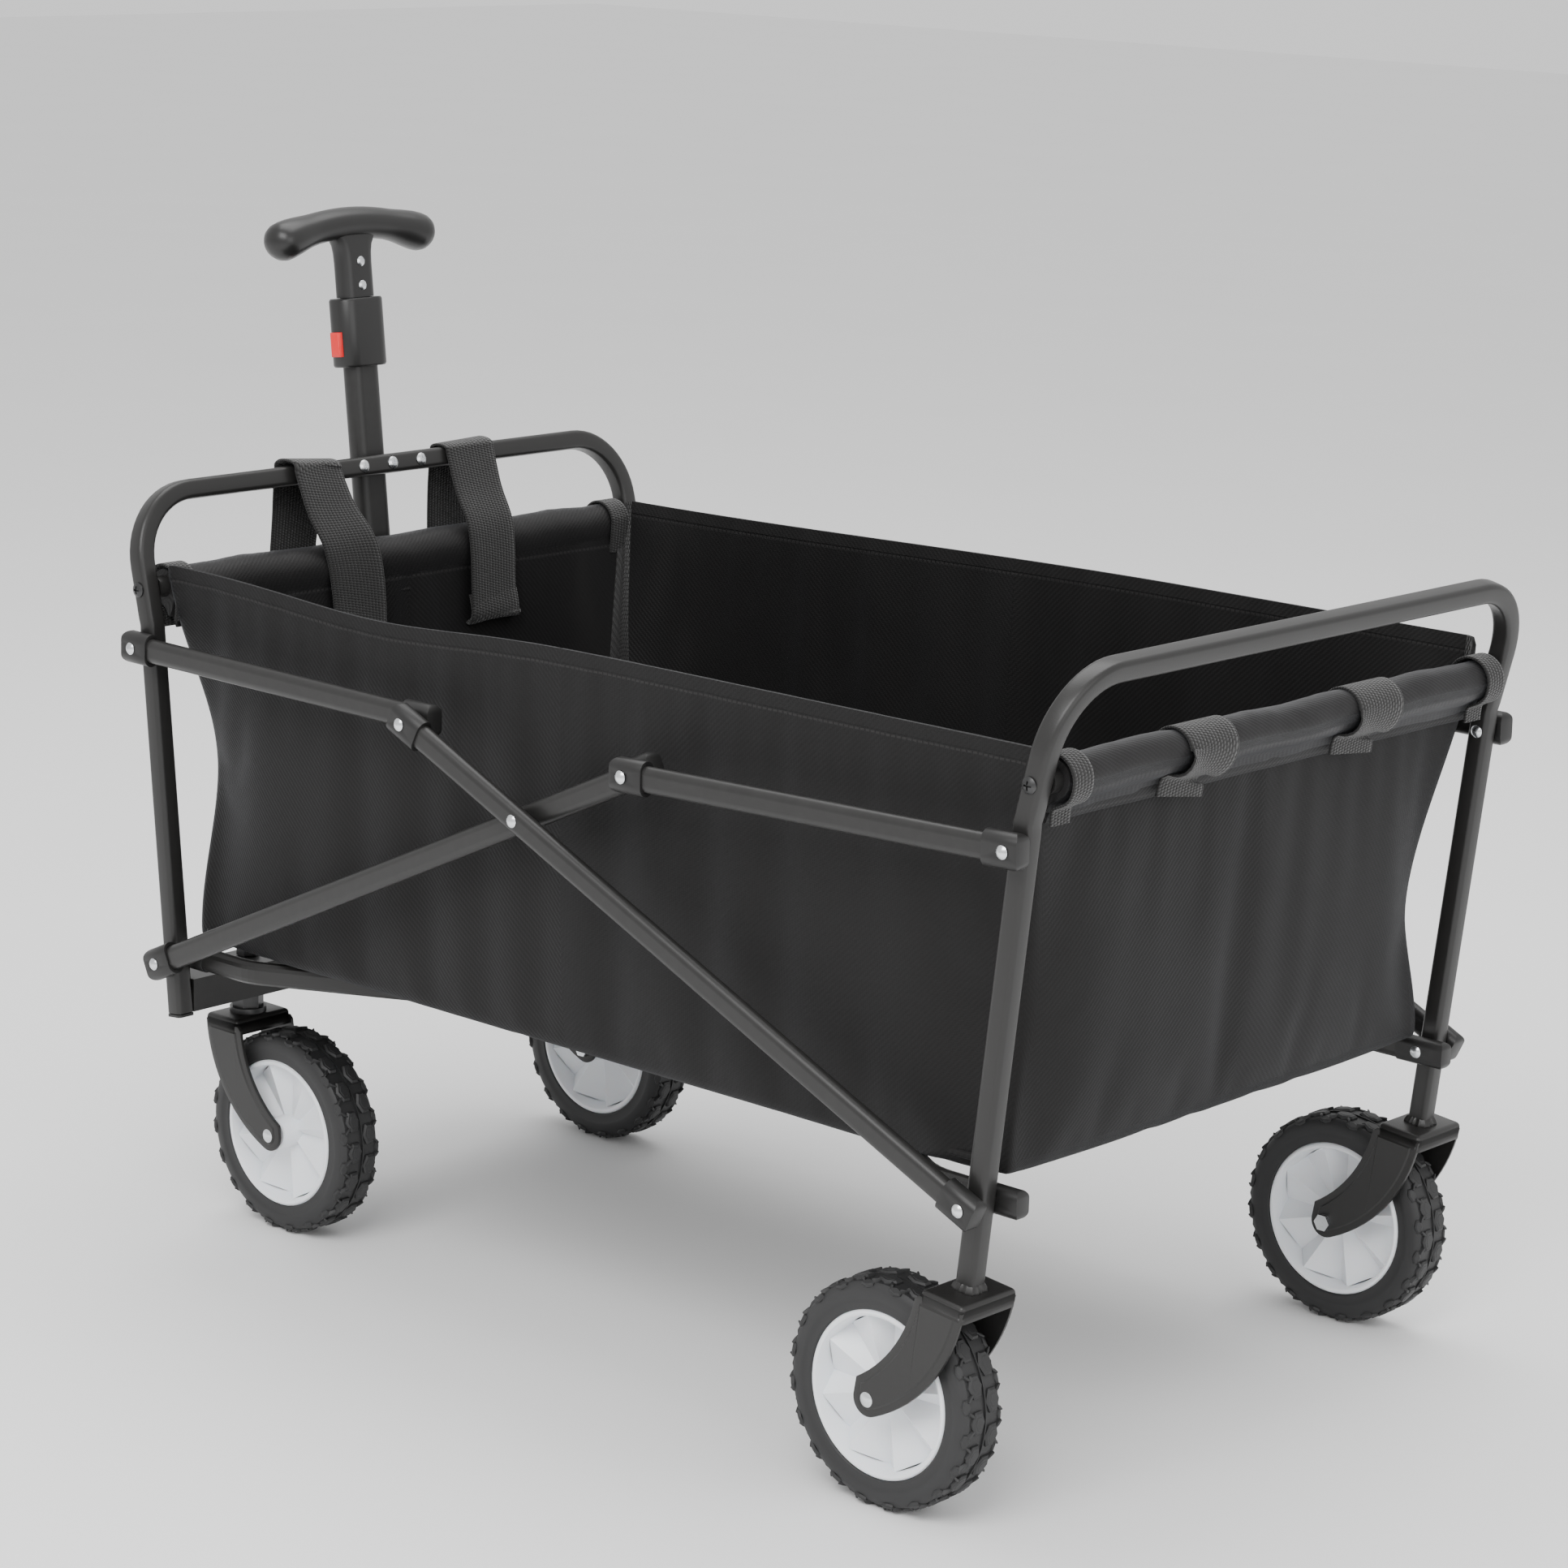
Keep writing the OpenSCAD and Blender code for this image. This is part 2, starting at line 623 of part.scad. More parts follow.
module front_link_tubes() {
    color([0.12, 0.12, 0.12]) placed() both_sides() difference() {
        member_tube(A, B, inner_y, inner_y, -socket_x, -socket_x);
        across(A, inner_y - cap_t, outer_y + cap_t, rivet_r + run_gap);
        across(B, inner_y - cap_t, outer_y + cap_t, rivet_r + run_gap);
    }
}
module front_link_caps() {
    color([0.08, 0.08, 0.08]) placed() both_sides() member_caps(A, B, inner_y, inner_y);
}
module rear_link_tubes() {
    color([0.12, 0.12, 0.12]) placed() both_sides() difference() {
        member_tube(G, F, inner_y, outer_y, -socket_x, -socket_x);
        across(G, inner_y - cap_t, outer_y + cap_t, rivet_r + run_gap);
        across(F, inner_y - cap_t, outer_y + cap_t, rivet_r + run_gap);
    }
}
module rear_link_caps() {
    color([0.08, 0.08, 0.08]) placed() both_sides() member_caps(G, F, inner_y, outer_y);
}

// Floor rails: a front and a rear half on each side, bent inwards, lying side by side at the middle
module rail_bore(p) { across(p, rail_y - side_t, leg_in, rivet_r + run_gap); }

// Stations along a rail from its pivot, each [along, inwards, turn]; inset is how far in it ends
function rail_stations(bend, inset) = let (
        bend_in = rail_bend_r * (1 - cos(bend[1])),
        bend_along = rail_bend_r * sin(bend[1]),
        end = bend[0] + 2 * bend_along + (inset - 2 * bend_in) / tan(bend[1]))
    concat([[socket_x, 0, 0]],
        [for (k = [0 : 4]) let (turn = bend[1] * k / 4)
            [bend[0] + rail_bend_r * sin(turn), rail_bend_r * (1 - cos(turn)), turn]],
        [for (k = [4 : -1 : 0]) let (turn = bend[1] * k / 4)
            [end - rail_bend_r * sin(turn), inset - rail_bend_r * (1 - cos(turn)), turn]],
        [[norm(middle - E) + rail_tail, inset, 0]]);

// Points round a bar with flat sides and round edges, h high and t thick, anticlockwise
function oval_ring(h, t) = [for (top = [1, -1], k = [0 : 6]) let (a = 30 * k + (top > 0 ? 0 : 180))
    [t / 2 * cos(a), top * (h - t) / 2 + t / 2 * sin(a)]];

function rail_rings(bend, inset, h, t) = [for (s = rail_stations(bend, inset))
    [for (q = oval_ring(h, t)) [s[0] + q[0] * sin(s[2]), q[0] * cos(s[2]) - s[1], q[1]]]];

module rail_tube(bend, inset) {
    swept_tube(rail_rings(bend, inset, side_h, side_t),
        rail_rings(bend, inset, side_h - 2 * side_wall, side_t - 2 * side_wall));
}

module front_rails() {
    color([0.12, 0.12, 0.12]) placed() both_sides()
        along(E, middle, rail_y, rail_y) rail_tube(front_rail_bend, rail_inset + side_t + rail_gap);
}
module front_rail_caps() {
    color([0.08, 0.08, 0.08]) placed() both_sides() difference() {
        along(E, middle, rail_y, rail_y) cap(rail_cap_h, rail_cap_t, 10, cap_len);
        rail_bore(E);
    }
}
module rear_rails() {
    color([0.12, 0.12, 0.12]) placed() both_sides() difference() {
        along(D, middle, rail_y, rail_y) rail_tube(rear_rail_bend, rail_inset);
        across(middle, rail_mid_y - side_t, rail_mid_y + side_t, rivet_r);
    }
}
module rear_rail_caps() {
    color([0.08, 0.08, 0.08]) placed() both_sides() difference() {
        along(D, middle, rail_y, rail_y) cap(rail_cap_h, rail_cap_t, rear_rail_tail, cap_len + 12);
        rail_bore(D);
    }
}
module rail_joint_rivets() {
    color("silver") placed() both_sides() union() {
        across(middle, rail_mid_y - side_t / 2 - 0.5, rail_mid_y + side_t / 2, rivet_r);
        rivet_head(middle, rail_mid_y + side_t / 2, 1);
    }
}

module floor_board(from_x, to_x) {
    translate([from_x, 12 - bag_y, board_z]) cube([to_x - from_x, 2 * (bag_y - 12), board_t]);
}
module front_floor_board() {
    color([0.05, 0.05, 0.05]) placed() floor_board(8 - wall_low_x, -1);
}
module rear_floor_board() {
    color([0.05, 0.05, 0.05]) placed() floor_board(1, wall_low_x - 8);
}

// The fabric body: two slack sides, two sloping ends, a floor, and a sleeve round each rod
module bag_outline(inset_xy, low) {
    polygon([[-wall_low_x + inset_xy, low], [wall_low_x - inset_xy, low],
        [wall_top_x - inset_xy, wall_top_z], [wall_top_x - inset_xy, bag_top_z + (inset_xy > 0 ? 1 : 0)],
        [-wall_top_x + inset_xy, bag_top_z + (inset_xy > 0 ? 1 : 0)], [-wall_top_x + inset_xy, wall_top_z]]);
}

module bag() {
    color([0.04, 0.04, 0.04]) placed() difference() {
        union() {
            difference() {
                rotate([90, 0, 0]) linear_extrude(2 * bag_y, center = true) bag_outline(0, bag_bottom_z);
                rotate([90, 0, 0]) linear_extrude(2 * (bag_y - bag_t), center = true)
                    bag_outline(bag_t, bag_bottom_z + bag_t);
                translate([-wall_top_x - 1, -sleeve_half, wall_top_z])
                    cube([bag_t + 2, 2 * sleeve_half, far]);
                translate([wall_top_x - bag_t - 1, -sleeve_half, wall_top_z])
                    cube([bag_t + 2, 2 * sleeve_half, far]);
            }
            for (end = [-1, 1]) across([end * rod_x, rod_z], -sleeve_half, sleeve_half, sleeve_d / 2);
        }
        for (end = [-1, 1]) across([end * rod_x, rod_z], -far, far, rod_d / 2 + fabric_gap);
    }
}

// A strap: over the front bar, down outside the sleeve, and down inside the body
strap_path = [[-6, -122], [-12, -66], [-11, 2], [-6, 10.5], [6, 10.5], [11, 2], [36, -66], [38, -132]];
function strap_side(i, s) = let (
        a = strap_path[max(i - 1, 0)],
        b = strap_path[min(i + 1, len(strap_path) - 1)],
        n = [a[1] - b[1], b[0] - a[0]] / norm(b - a))
    strap_path[i] + s * strap_t / 2 * n;

module strap() {
    last = len(strap_path) - 1;
    placed() translate([-bar_x, strap_y, bar_z]) rotate([90, 0, 0]) linear_extrude(strap_w, center = true)
        polygon(concat([for (i = [0 : last]) strap_side(i, 1)], [for (i = [0 : last]) strap_side(last - i, -1)]));
}
module strap_left() { color([0.05, 0.05, 0.05]) left() strap(); }
module strap_right() { color([0.05, 0.05, 0.05]) strap(); }

// Handle bracket on the crossbar: a base and two ears
module handle_bracket() {
    ear_t = 2.5;
    ear_y = shaft_w / 2 + 0.4;
    base_z = crossbar_z + crossbar_h;
    color([0.10, 0.10, 0.10]) placed() difference() {
        union() {
            translate([handle_x - 5, -22, base_z]) cube([30, 44, 2.5]);
            for (s = [-1, 1]) translate([handle_x, s * (ear_y + ear_t / 2), handle_z])
                rotate([90, 0, 0]) linear_extrude(ear_t, center = true) union() {
                    circle(r = 10);
                    translate([-5, base_z - handle_z]) square([15, handle_z - base_z]);
                }
        }
        across([handle_x, handle_z], -30, 30, pin_d / 2);
    }
}

module handle_pivot_pin() {
    ear_out = shaft_w / 2 + 0.4 + 2.5;
    color("silver") placed() union() {
        across([handle_x, handle_z], -ear_out, ear_out, pin_d / 2);
        across([handle_x, handle_z], ear_out, ear_out + 2, pin_d / 2 + 2);
        across([handle_x, handle_z], -ear_out - 2, -ear_out, pin_d / 2 + 2);
    }
}

// The clip that holds the stowed handle against the front bar
module handle_clip() {
    jaw = 2.8;
    jaw_y = shaft_w / 2 + 0.6;
    color([0.08, 0.08, 0.08]) placed() front() on_bar() difference() {
        union() {
            translate([tube_w / 2, -38, -7]) cube([1.5, 76, 14]);
            for (y = [-jaw_y - jaw, jaw_y]) translate([tube_w / 2, y, -7]) cube([15, jaw, 14]);
        }
        for (y = bar_screws)
            translate([0, y, 0]) rotate([0, 90, 0]) cylinder(h = 2 * tube_w, r = screw_r);
    }
}

module clip_screws() {
    color("silver") placed() front() on_bar() for (y = bar_screws)
        translate([-tube_w / 2, y, 0]) difference() {
        union() {
            rotate([0, 90, 0]) cylinder(h = tube_w + 1.5, r = screw_r);
            intersection() {
                translate([6.2, 0, 0]) sphere(r = 8.4);
                translate([-2.4, 0, 0]) rotate([0, 90, 0]) cylinder(h = 2.4, r = 4.8);
            }
        }
        for (turn = [0, 90]) rotate([turn, 0, 0]) translate([-2, 0, 0]) cube([1.8, 5, 1], center = true);
    }
}

// Lower handle tube, round at its pivot end
module handle_shaft() {
    bore_w = shaft_w - 2 * shaft_wall;
    bore_t = shaft_t - 2 * shaft_wall;
    color([0.10, 0.10, 0.10]) placed() in_handle() difference() {
        union() {
            linear_extrude(shaft_len) oval(shaft_w, shaft_t);
            intersection() {
                translate([0, 0, -10]) linear_extrude(12) oval(shaft_w, shaft_t);
                rotate([90, 0, 0]) cylinder(h = shaft_w + 2, r = 10, center = true);
            }
        }
        translate([0, 0, 14]) linear_extrude(shaft_len) oval(bore_w, bore_t);
        rotate([90, 0, 0]) cylinder(h = shaft_w + 2, r = pin_d / 2 + run_gap, center = true);
    }
}

module collar_block() {
    translate([0, 0, collar_z]) linear_extrude(collar_h) union() {
        square([collar_t, collar_w - 16], center = true);
        square([collar_t - 16, collar_w], center = true);
        for (sx = [-1, 1], sy = [-1, 1])
            translate([sx * (collar_t / 2 - 8), sy * (collar_w / 2 - 8)]) circle(r = 8);
    }
}

// Collar on the top of the lower tube, with a pocket for the release button
module handle_collar() {
    color([0.07, 0.07, 0.07]) placed() in_handle() difference() {
        collar_block();
        translate([0, 0, collar_z - 1]) linear_extrude(shaft_len - collar_z + 1) oval(shaft_w, shaft_t);
        linear_extrude(far) oval(shaft_w - 2 * shaft_wall, shaft_t - 2 * shaft_wall);
        translate([-button_t / 2 - 0.2, -collar_w / 2 - 1, button_z - button_h / 2 - 0.2])
            cube([button_t + 0.4, collar_w / 2 - shaft_w / 2, button_h + 0.4]);
    }
}

// Upper handle tube, which slides inside the lower one
module handle_tube() {
    outer_w = shaft_w - 2 * shaft_wall - 2 * slide_gap;
    outer_t = shaft_t - 2 * shaft_wall - 2 * slide_gap;
    color([0.12, 0.12, 0.12]) placed() in_handle() difference() {
        translate([0, 0, tube_low]) linear_extrude(tube_top - tube_low) oval(outer_w, outer_t);
        translate([0, 0, tube_low - 1]) linear_extrude(far) oval(outer_w - 2.4, outer_t - 2.4);
        for (z = rivet_steps) translate([0, 0, collar_z + collar_h + z])
            rotate([0, 90, 0]) cylinder(h = far, r = 2, center = true);
    }
}

// Arched T-grip with swollen ends on a flat stem
module handle_grip() {
    outer_w = shaft_w - 2 * shaft_wall - 2 * slide_gap;
    outer_t = shaft_t - 2 * shaft_wall - 2 * slide_gap;
    half_turn = asin(grip_span / 2 / grip_arc_r);
    stem_z = collar_z + collar_h + 0.5;
    color([0.07, 0.07, 0.07]) placed() in_handle() difference() {
        union() {
            translate([0, 0, stem_z]) linear_extrude(grip_z - stem_z) oval(stem_w, stem_t);
            translate([0, 0, grip_z - grip_arc_r]) rotate([0, -90, 0]) rotate([0, 0, -half_turn])
                rotate_extrude(angle = 2 * half_turn) translate([grip_arc_r, 0]) circle(d = grip_d);
            for (s = [-1, 1]) translate([0, s * grip_span / 2, grip_z - grip_sag]) sphere(d = grip_end_d);
        }
        translate([0, 0, stem_z - 1]) linear_extrude(tube_top + 1.5 - stem_z) oval(outer_w, outer_t);
        for (z = rivet_steps) translate([0, 0, collar_z + collar_h + z])
            rotate([0, 90, 0]) cylinder(h = stem_t + 2, r = 2, center = true);
    }
}

module grip_rivets() {
    color("silver") placed() in_handle() for (z = rivet_steps)
        translate([0, 0, collar_z + collar_h + z]) union() {
        rotate([0, 90, 0]) cylinder(h = stem_t, r = 2, center = true);
        for (s = [-1, 1]) intersection() {
            translate([s * (stem_t / 2 - 5.2), 0, 0]) rotate([0, 90, 0]) sphere(r = 6.7);
            translate([s * (stem_t / 2 + 1), 0, 0]) rotate([0, 90, 0]) cylinder(h = 2, r = 3.8, center = true);
        }
    }
}

module release_button() {
    color("red") placed() in_handle() translate([0, -collar_w / 2 - button_travel, button_z]) union() {
        translate([-button_t / 2, 0.8, -button_h / 2]) cube([button_t, button_depth - 0.8, button_h]);
        translate([-button_t / 2 + 1, 0, -button_h / 2 + 1]) cube([button_t - 2, 1, button_h - 2]);
    }
}

// A plain sleeve that stands for the button's coil spring
module button_spring() {
    low_y = -collar_w / 2 - button_travel + button_depth;
    high_y = -shaft_w / 2 - 1;
    color("silver") placed() in_handle() difference() {
        across([0, button_z], low_y, high_y, 3);
        across([0, button_z], low_y - 1, high_y + 1, 2.2);
    }
}

front_frame_tube();
front_crossbar();
front_leg_caps();
front_sleeve_rod();
front_rod_plugs();
front_rod_screws();
front_pivot_rivets();
bag();
strap_left();
strap_right();
handle_bracket();
handle_pivot_pin();
handle_clip();
clip_screws();
rear_frame_tube();
rear_sleeve_rod();
rear_rod_plugs();
rear_rod_screws();
rear_pivot_rivets();
rear_forks();
rear_axles();
lower_diagonal_tubes();
lower_diagonal_caps();
cross_rivets();
upper_diagonal_tubes();
upper_diagonal_caps();
upper_diagonal_rivets();
front_link_tubes();
front_link_caps();
rear_link_tubes();
rear_link_caps();
rear_link_rivets();
front_rails();
front_rail_caps();
front_floor_board();
rear_rails();
rear_rail_caps();
rear_floor_board();
rail_joint_rivets();
caster_fork_left();
caster_fork_right();
caster_stem_left();
caster_stem_right();
caster_axle_left();
caster_axle_right();
tyre_front_left();
tyre_front_right();
tyre_rear_left();
tyre_rear_right();
rim_front_left();
rim_front_right();
rim_rear_left();
rim_rear_right();
handle_shaft();
handle_collar();
handle_tube();
handle_grip();
grip_rivets();
release_button();
button_spring();
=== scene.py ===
"""The looks of the folding wagon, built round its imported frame. Lengths are in metres."""
import json
import math

import bmesh
import bpy
from bpy.props import FloatProperty, FloatVectorProperty, IntProperty, PointerProperty
from mathutils import Matrix, Vector, noise


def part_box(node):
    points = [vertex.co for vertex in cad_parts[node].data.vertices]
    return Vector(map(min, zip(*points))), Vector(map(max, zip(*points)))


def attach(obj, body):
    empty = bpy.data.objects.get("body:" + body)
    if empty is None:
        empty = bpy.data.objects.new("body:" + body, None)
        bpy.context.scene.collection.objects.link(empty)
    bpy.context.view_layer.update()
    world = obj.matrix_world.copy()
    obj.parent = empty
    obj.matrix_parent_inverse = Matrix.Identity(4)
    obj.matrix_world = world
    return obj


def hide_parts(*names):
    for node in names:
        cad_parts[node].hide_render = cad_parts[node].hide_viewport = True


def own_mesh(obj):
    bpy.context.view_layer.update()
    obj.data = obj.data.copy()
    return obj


bl_info = {
    "name": "Folding wagon looks",
    "version": (1, 0, 0),
    "blender": (4, 5, 0),
    "location": "3D View > Sidebar > Wagon",
    "description": "Builds the visible pieces of a folding fabric wagon round its frame",
    "category": "Object",
}

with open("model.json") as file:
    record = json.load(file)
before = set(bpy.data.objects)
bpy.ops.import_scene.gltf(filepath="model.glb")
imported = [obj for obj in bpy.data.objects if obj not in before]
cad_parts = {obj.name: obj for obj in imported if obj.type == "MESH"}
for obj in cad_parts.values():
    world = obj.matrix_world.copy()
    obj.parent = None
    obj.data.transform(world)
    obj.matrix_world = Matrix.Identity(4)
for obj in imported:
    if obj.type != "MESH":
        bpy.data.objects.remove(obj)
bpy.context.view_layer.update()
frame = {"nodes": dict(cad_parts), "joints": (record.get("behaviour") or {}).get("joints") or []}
JOINTS = {j["name"]: j for j in frame["joints"]}


def pivot(joint):
    """Where a joint's axis is at rest."""
    return Vector(JOINTS[joint]["pos_m"])


MIDDLE = pivot("cross_pivot").x
LEAN = math.atan2(
    pivot("front_rail_pivot").x - pivot("front_link_pivot").x,
    pivot("front_link_pivot").z - pivot("front_rail_pivot").z,
)
ALONG_Y = Matrix.Rotation(math.radians(-90), 4, "X")


# ---------------------------------------------------------------- sizes and colours

def length_size(name, default, description, **limits):
    return FloatProperty(name=name, description=description, default=default, unit="LENGTH", **limits)


def angle_size(name, degrees, description):
    return FloatProperty(name=name, description=description, default=math.radians(degrees),
                         subtype="ANGLE")


def colour_choice(name, default, description):
    return FloatVectorProperty(name=name, description=description, default=default, subtype="COLOR")


class WagonFrameSizes(bpy.types.PropertyGroup):
    """Sizes of the steel frame"""
    tube: length_size("Tube", 0.015, "Outer width of the square tube")
    tube_round: length_size("Tube edge", 0.0036, "Radius along the tube's edges")
    bend_height: length_size("Bend height", 0.470, "Height of the bend in each leg")
    bar_height: length_size("Bar height", 0.562, "Height of the end bars' centre")
    bar_lean: angle_size("Bar lean", 7.8, "Extra lean above the bend")
    corner: length_size("Corner", 0.052, "Centre-line radius of the corners")
    fork_width: length_size("Fork width", 0.054, "Outer width of the forks")
    plate: length_size("Fork plate", 0.0025, "Thickness of the forks' steel")


class WagonWheelSizes(bpy.types.PropertyGroup):
    """Sizes of the wheels"""
    radius: length_size("Radius", 0.0775, "Outer radius of the tyres")
    width: length_size("Width", 0.036, "Width of the tyres")
    rim_radius: length_size("Rim radius", 0.0565, "Radius where the tyre sits")
    blocks: IntProperty(name="Tread blocks", description="Blocks round the tyre in each row",
                        default=20, min=8, max=40)
    block_height: length_size("Block height", 0.0022, "How far the tread blocks stand up")
    blades: IntProperty(name="Blades", description="Sloping facets of each rim",
                        default=8, min=4, max=12)


class WagonFabricSizes(bpy.types.PropertyGroup):
    """Sizes of the fabric body"""
    wall: length_size("Cloth", 0.0012, "Thickness of the cloth")
    hem: length_size("Hem", 0.0115, "Depth of the top hem")
    slack: FloatProperty(name="Slack", description="How much larger the cloth is than its frame",
                         default=0.007, min=0.0, max=0.1)
    sleeve: length_size("Sleeve", 0.028, "Diameter of the sleeves round the rods")
    strap: length_size("Strap", 0.050, "Width of the lifting straps")
    loop: length_size("Loop", 0.050, "Width of the webbing loops")
    frames: IntProperty(name="Settling", description="Steps for the cloth to settle", default=26)


class WagonFinishes(bpy.types.PropertyGroup):
    """Colours of the finishes"""
    steel: colour_choice("Powder coat", (0.016, 0.0155, 0.015), "Colour of the painted steel")
    cloth: colour_choice("Cloth", (0.0068, 0.0064, 0.0063), "Colour of the body's cloth")
    webbing: colour_choice("Webbing", (0.0085, 0.008, 0.0078), "Colour of the webbing")
    nylon: colour_choice("Nylon", (0.012, 0.0117, 0.0115), "Colour of the moulded caps and grip")
    rubber: colour_choice("Rubber", (0.017, 0.017, 0.0175), "Colour of the tyres")
    rim: colour_choice("Rims", (0.86, 0.88, 0.91), "Colour of the wheel rims")
    button: colour_choice("Button", (0.80, 0.012, 0.012), "Colour of the release button")


class WagonStageSizes(bpy.types.PropertyGroup):
    """The view"""
    azimuth: angle_size("Azimuth", 41.781, "Direction of the camera")
    elevation: angle_size("Elevation", 13.034, "Height angle of the camera")
    roll: angle_size("Roll", 1.576, "Tilt of the camera about its view")
    distance: length_size("Distance", 3.0673, "Camera to target")
    lens: FloatProperty(name="Lens", description="Focal length in millimetres", default=97.56)
    target: FloatVectorProperty(name="Target", description="Point the camera looks at, from the middle",
                                subtype="TRANSLATION", default=(-0.00753, -0.00564, 0.3819))


GROUPS = {
    "wagon_frame": WagonFrameSizes,
    "wagon_wheels": WagonWheelSizes,
    "wagon_fabric": WagonFabricSizes,
    "wagon_finishes": WagonFinishes,
    "wagon_stage": WagonStageSizes,
}


def sizes(name):
    return getattr(bpy.context.scene, "wagon_" + name)


# ---------------------------------------------------------------- shader groups

def new_group(name, inputs, outputs):
    """An empty shader group with named sockets: returns it with its input and output nodes."""
    group = bpy.data.node_groups.new(name, "ShaderNodeTree")
    for label, kind, value in inputs:
        socket = group.interface.new_socket(label, in_out="INPUT", socket_type="NodeSocket" + kind)
        if value is not None:
            socket.default_value = value
    for label, kind in outputs:
        group.interface.new_socket(label, in_out="OUTPUT", socket_type="NodeSocket" + kind)
    return group, group.nodes.new("NodeGroupInput"), group.nodes.new("NodeGroupOutput")


def feed(tree, socket, value):
    """Links the socket to value where that is a socket too, and sets it where it is a constant."""
    if isinstance(value, bpy.types.NodeSocket):
        tree.links.new(value, socket)
    else:
        socket.default_value = value


def node(tree, kind, settings=None, **links):
    """A shader node; keyword links go to inputs by name, with spaces written as underscores."""
    made = tree.nodes.new("ShaderNode" + kind)
    for key, value in (settings or {}).items():
        setattr(made, key, value)
    for key, value in links.items():
        feed(tree, made.inputs[key.replace("_", " ")], value)
    return made


def maths(tree, operation, *values):
    made = node(tree, "Math", {"operation": operation})
    for socket, value in zip(made.inputs, values):
        feed(tree, socket, value)
    return made.outputs[0]


def humps(tree, value):
    """One round hump for each whole step of value."""
    return maths(tree, "ABSOLUTE", maths(tree, "SINE", maths(tree, "MULTIPLY", value, math.pi)))


def weave_group():
    """Twill: threads go over two and under two, one step further in each row. Lengths in metres."""
    group, given, out = new_group(
        "Twill weave",
        [("Along", "Float", 0.0), ("Across", "Float", 0.0), ("Thread", "Float", 0.001)],
        [("Height", "Float"), ("Shade", "Float")])
    u = maths(group, "DIVIDE", given.outputs["Along"], given.outputs["Thread"])
    v = maths(group, "DIVIDE", given.outputs["Across"], given.outputs["Thread"])
    diagonal = maths(group, "SINE", maths(group, "MULTIPLY", maths(group, "ADD", u, v), math.pi / 2))
    rows = maths(group, "MULTIPLY", humps(group, u), humps(group, v))
    height = maths(group, "MULTIPLY_ADD", diagonal, 0.35, maths(group, "MULTIPLY", rows, 0.5))
    group.links.new(height, out.inputs["Height"])
    # Shade comes from the height: painted shade between the threads and painted highlight on their tops.
    shade = maths(group, "MULTIPLY_ADD", height, 0.5, 0.5)
    group.links.new(shade, out.inputs["Shade"])
    return group


def stitch_group():
    """A row of thread dashes: Offset is the distance from the row's line."""
    group, given, out = new_group(
        "Stitch row",
        [("Along", "Float", 0.0), ("Offset", "Float", 0.0), ("Pitch", "Float", 0.0042),
         ("Thread", "Float", 0.0007)],
        [("Mask", "Float")])
    near = maths(group, "LESS_THAN", maths(group, "ABSOLUTE", given.outputs["Offset"]),
                 given.outputs["Thread"])
    step = maths(group, "FRACT", maths(group, "DIVIDE", given.outputs["Along"], given.outputs["Pitch"]))
    dash = maths(group, "LESS_THAN", step, 0.72)
    group.links.new(maths(group, "MULTIPLY", near, dash), out.inputs["Mask"])
    return group


def speckle_group():
    """Fine grain and slow variation over a surface, from its own coordinates."""
    group, given, out = new_group(
        "Surface grain",
        [("Grain", "Float", 900.0), ("Patches", "Float", 9.0)],
        [("Grain", "Float"), ("Patches", "Float")])
    place = node(group, "TexCoord").outputs["Object"]
    grain = node(group, "TexNoise", Vector=place, Scale=given.outputs["Grain"], Detail=2.0)
    patches = node(group, "TexNoise", Vector=place, Scale=given.outputs["Patches"], Detail=4.0)
    group.links.new(grain.outputs["Fac"], out.inputs["Grain"])
    group.links.new(patches.outputs["Fac"], out.inputs["Patches"])
    return group


def edge_highlight_group():
    """Painted highlight: bright on convex edges, broken up by noise."""
    group, given, out = new_group("Painted edge highlight", [("Amount", "Float", 0.5)], [("Mask", "Float")])
    convex = node(group, "NewGeometry").outputs["Pointiness"]
    # Noise that breaks up the painted edge highlight.
    highlight_breakup = node(group, "TexNoise", Vector=node(group, "TexCoord").outputs["Object"], Scale=160.0,
               Detail=3.0).outputs["Fac"]
    sharp = node(group, "MapRange", Value=convex, From_Min=0.53, From_Max=0.62).outputs[0]
    broken = node(group, "MapRange", Value=highlight_breakup, From_Min=0.42, From_Max=0.66).outputs[0]
    mask = maths(group, "MULTIPLY", maths(group, "MULTIPLY", sharp, broken), given.outputs["Amount"])
    group.links.new(mask, out.inputs["Mask"])
    return group


SHARED = {}


def shared(name):
    """The shared shader group of that name, built the first time it is asked for."""
    if name not in SHARED:
        SHARED[name] = {"weave": weave_group, "stitch": stitch_group,
                        "speckle": speckle_group, "edge": edge_highlight_group}[name]()
    return SHARED[name]


def place_group(tree, name, **links):
    return node(tree, "Group", {"node_tree": shared(name)}, **links)


# ---------------------------------------------------------------- materials

def new_material(name, **values):
    """A material with one Principled shader; values are its plain sockets, spaces as underscores."""
    material = bpy.data.materials.new(name)
    material.use_nodes = True
    tree = material.node_tree
    shader = tree.nodes["Principled BSDF"]
    for key, value in values.items():
        shader.inputs[key.replace("_", " ")].default_value = value
    return material, tree, shader


def mixed(tree, factor, first, second):
    """Colour between first and second; colours are sockets or rgb."""
    mix = node(tree, "Mix", {"data_type": "RGBA"})
    tree.links.new(factor, mix.inputs["Factor"])
    for socket, value in ((mix.inputs[6], first), (mix.inputs[7], second)):
        feed(tree, socket, (*value, 1.0) if isinstance(value, tuple) else value)
    return mix.outputs[2]


def ranged(tree, value, low, high, start=0.0, end=1.0):
    return node(tree, "MapRange", Value=value, From_Min=start, From_Max=end,
                To_Min=low, To_Max=high).outputs[0]


def bumped(tree, shader, height, strength, distance):
    bump = node(tree, "Bump", Height=height, Strength=strength, Distance=distance)
    tree.links.new(bump.outputs["Normal"], shader.inputs["Normal"])


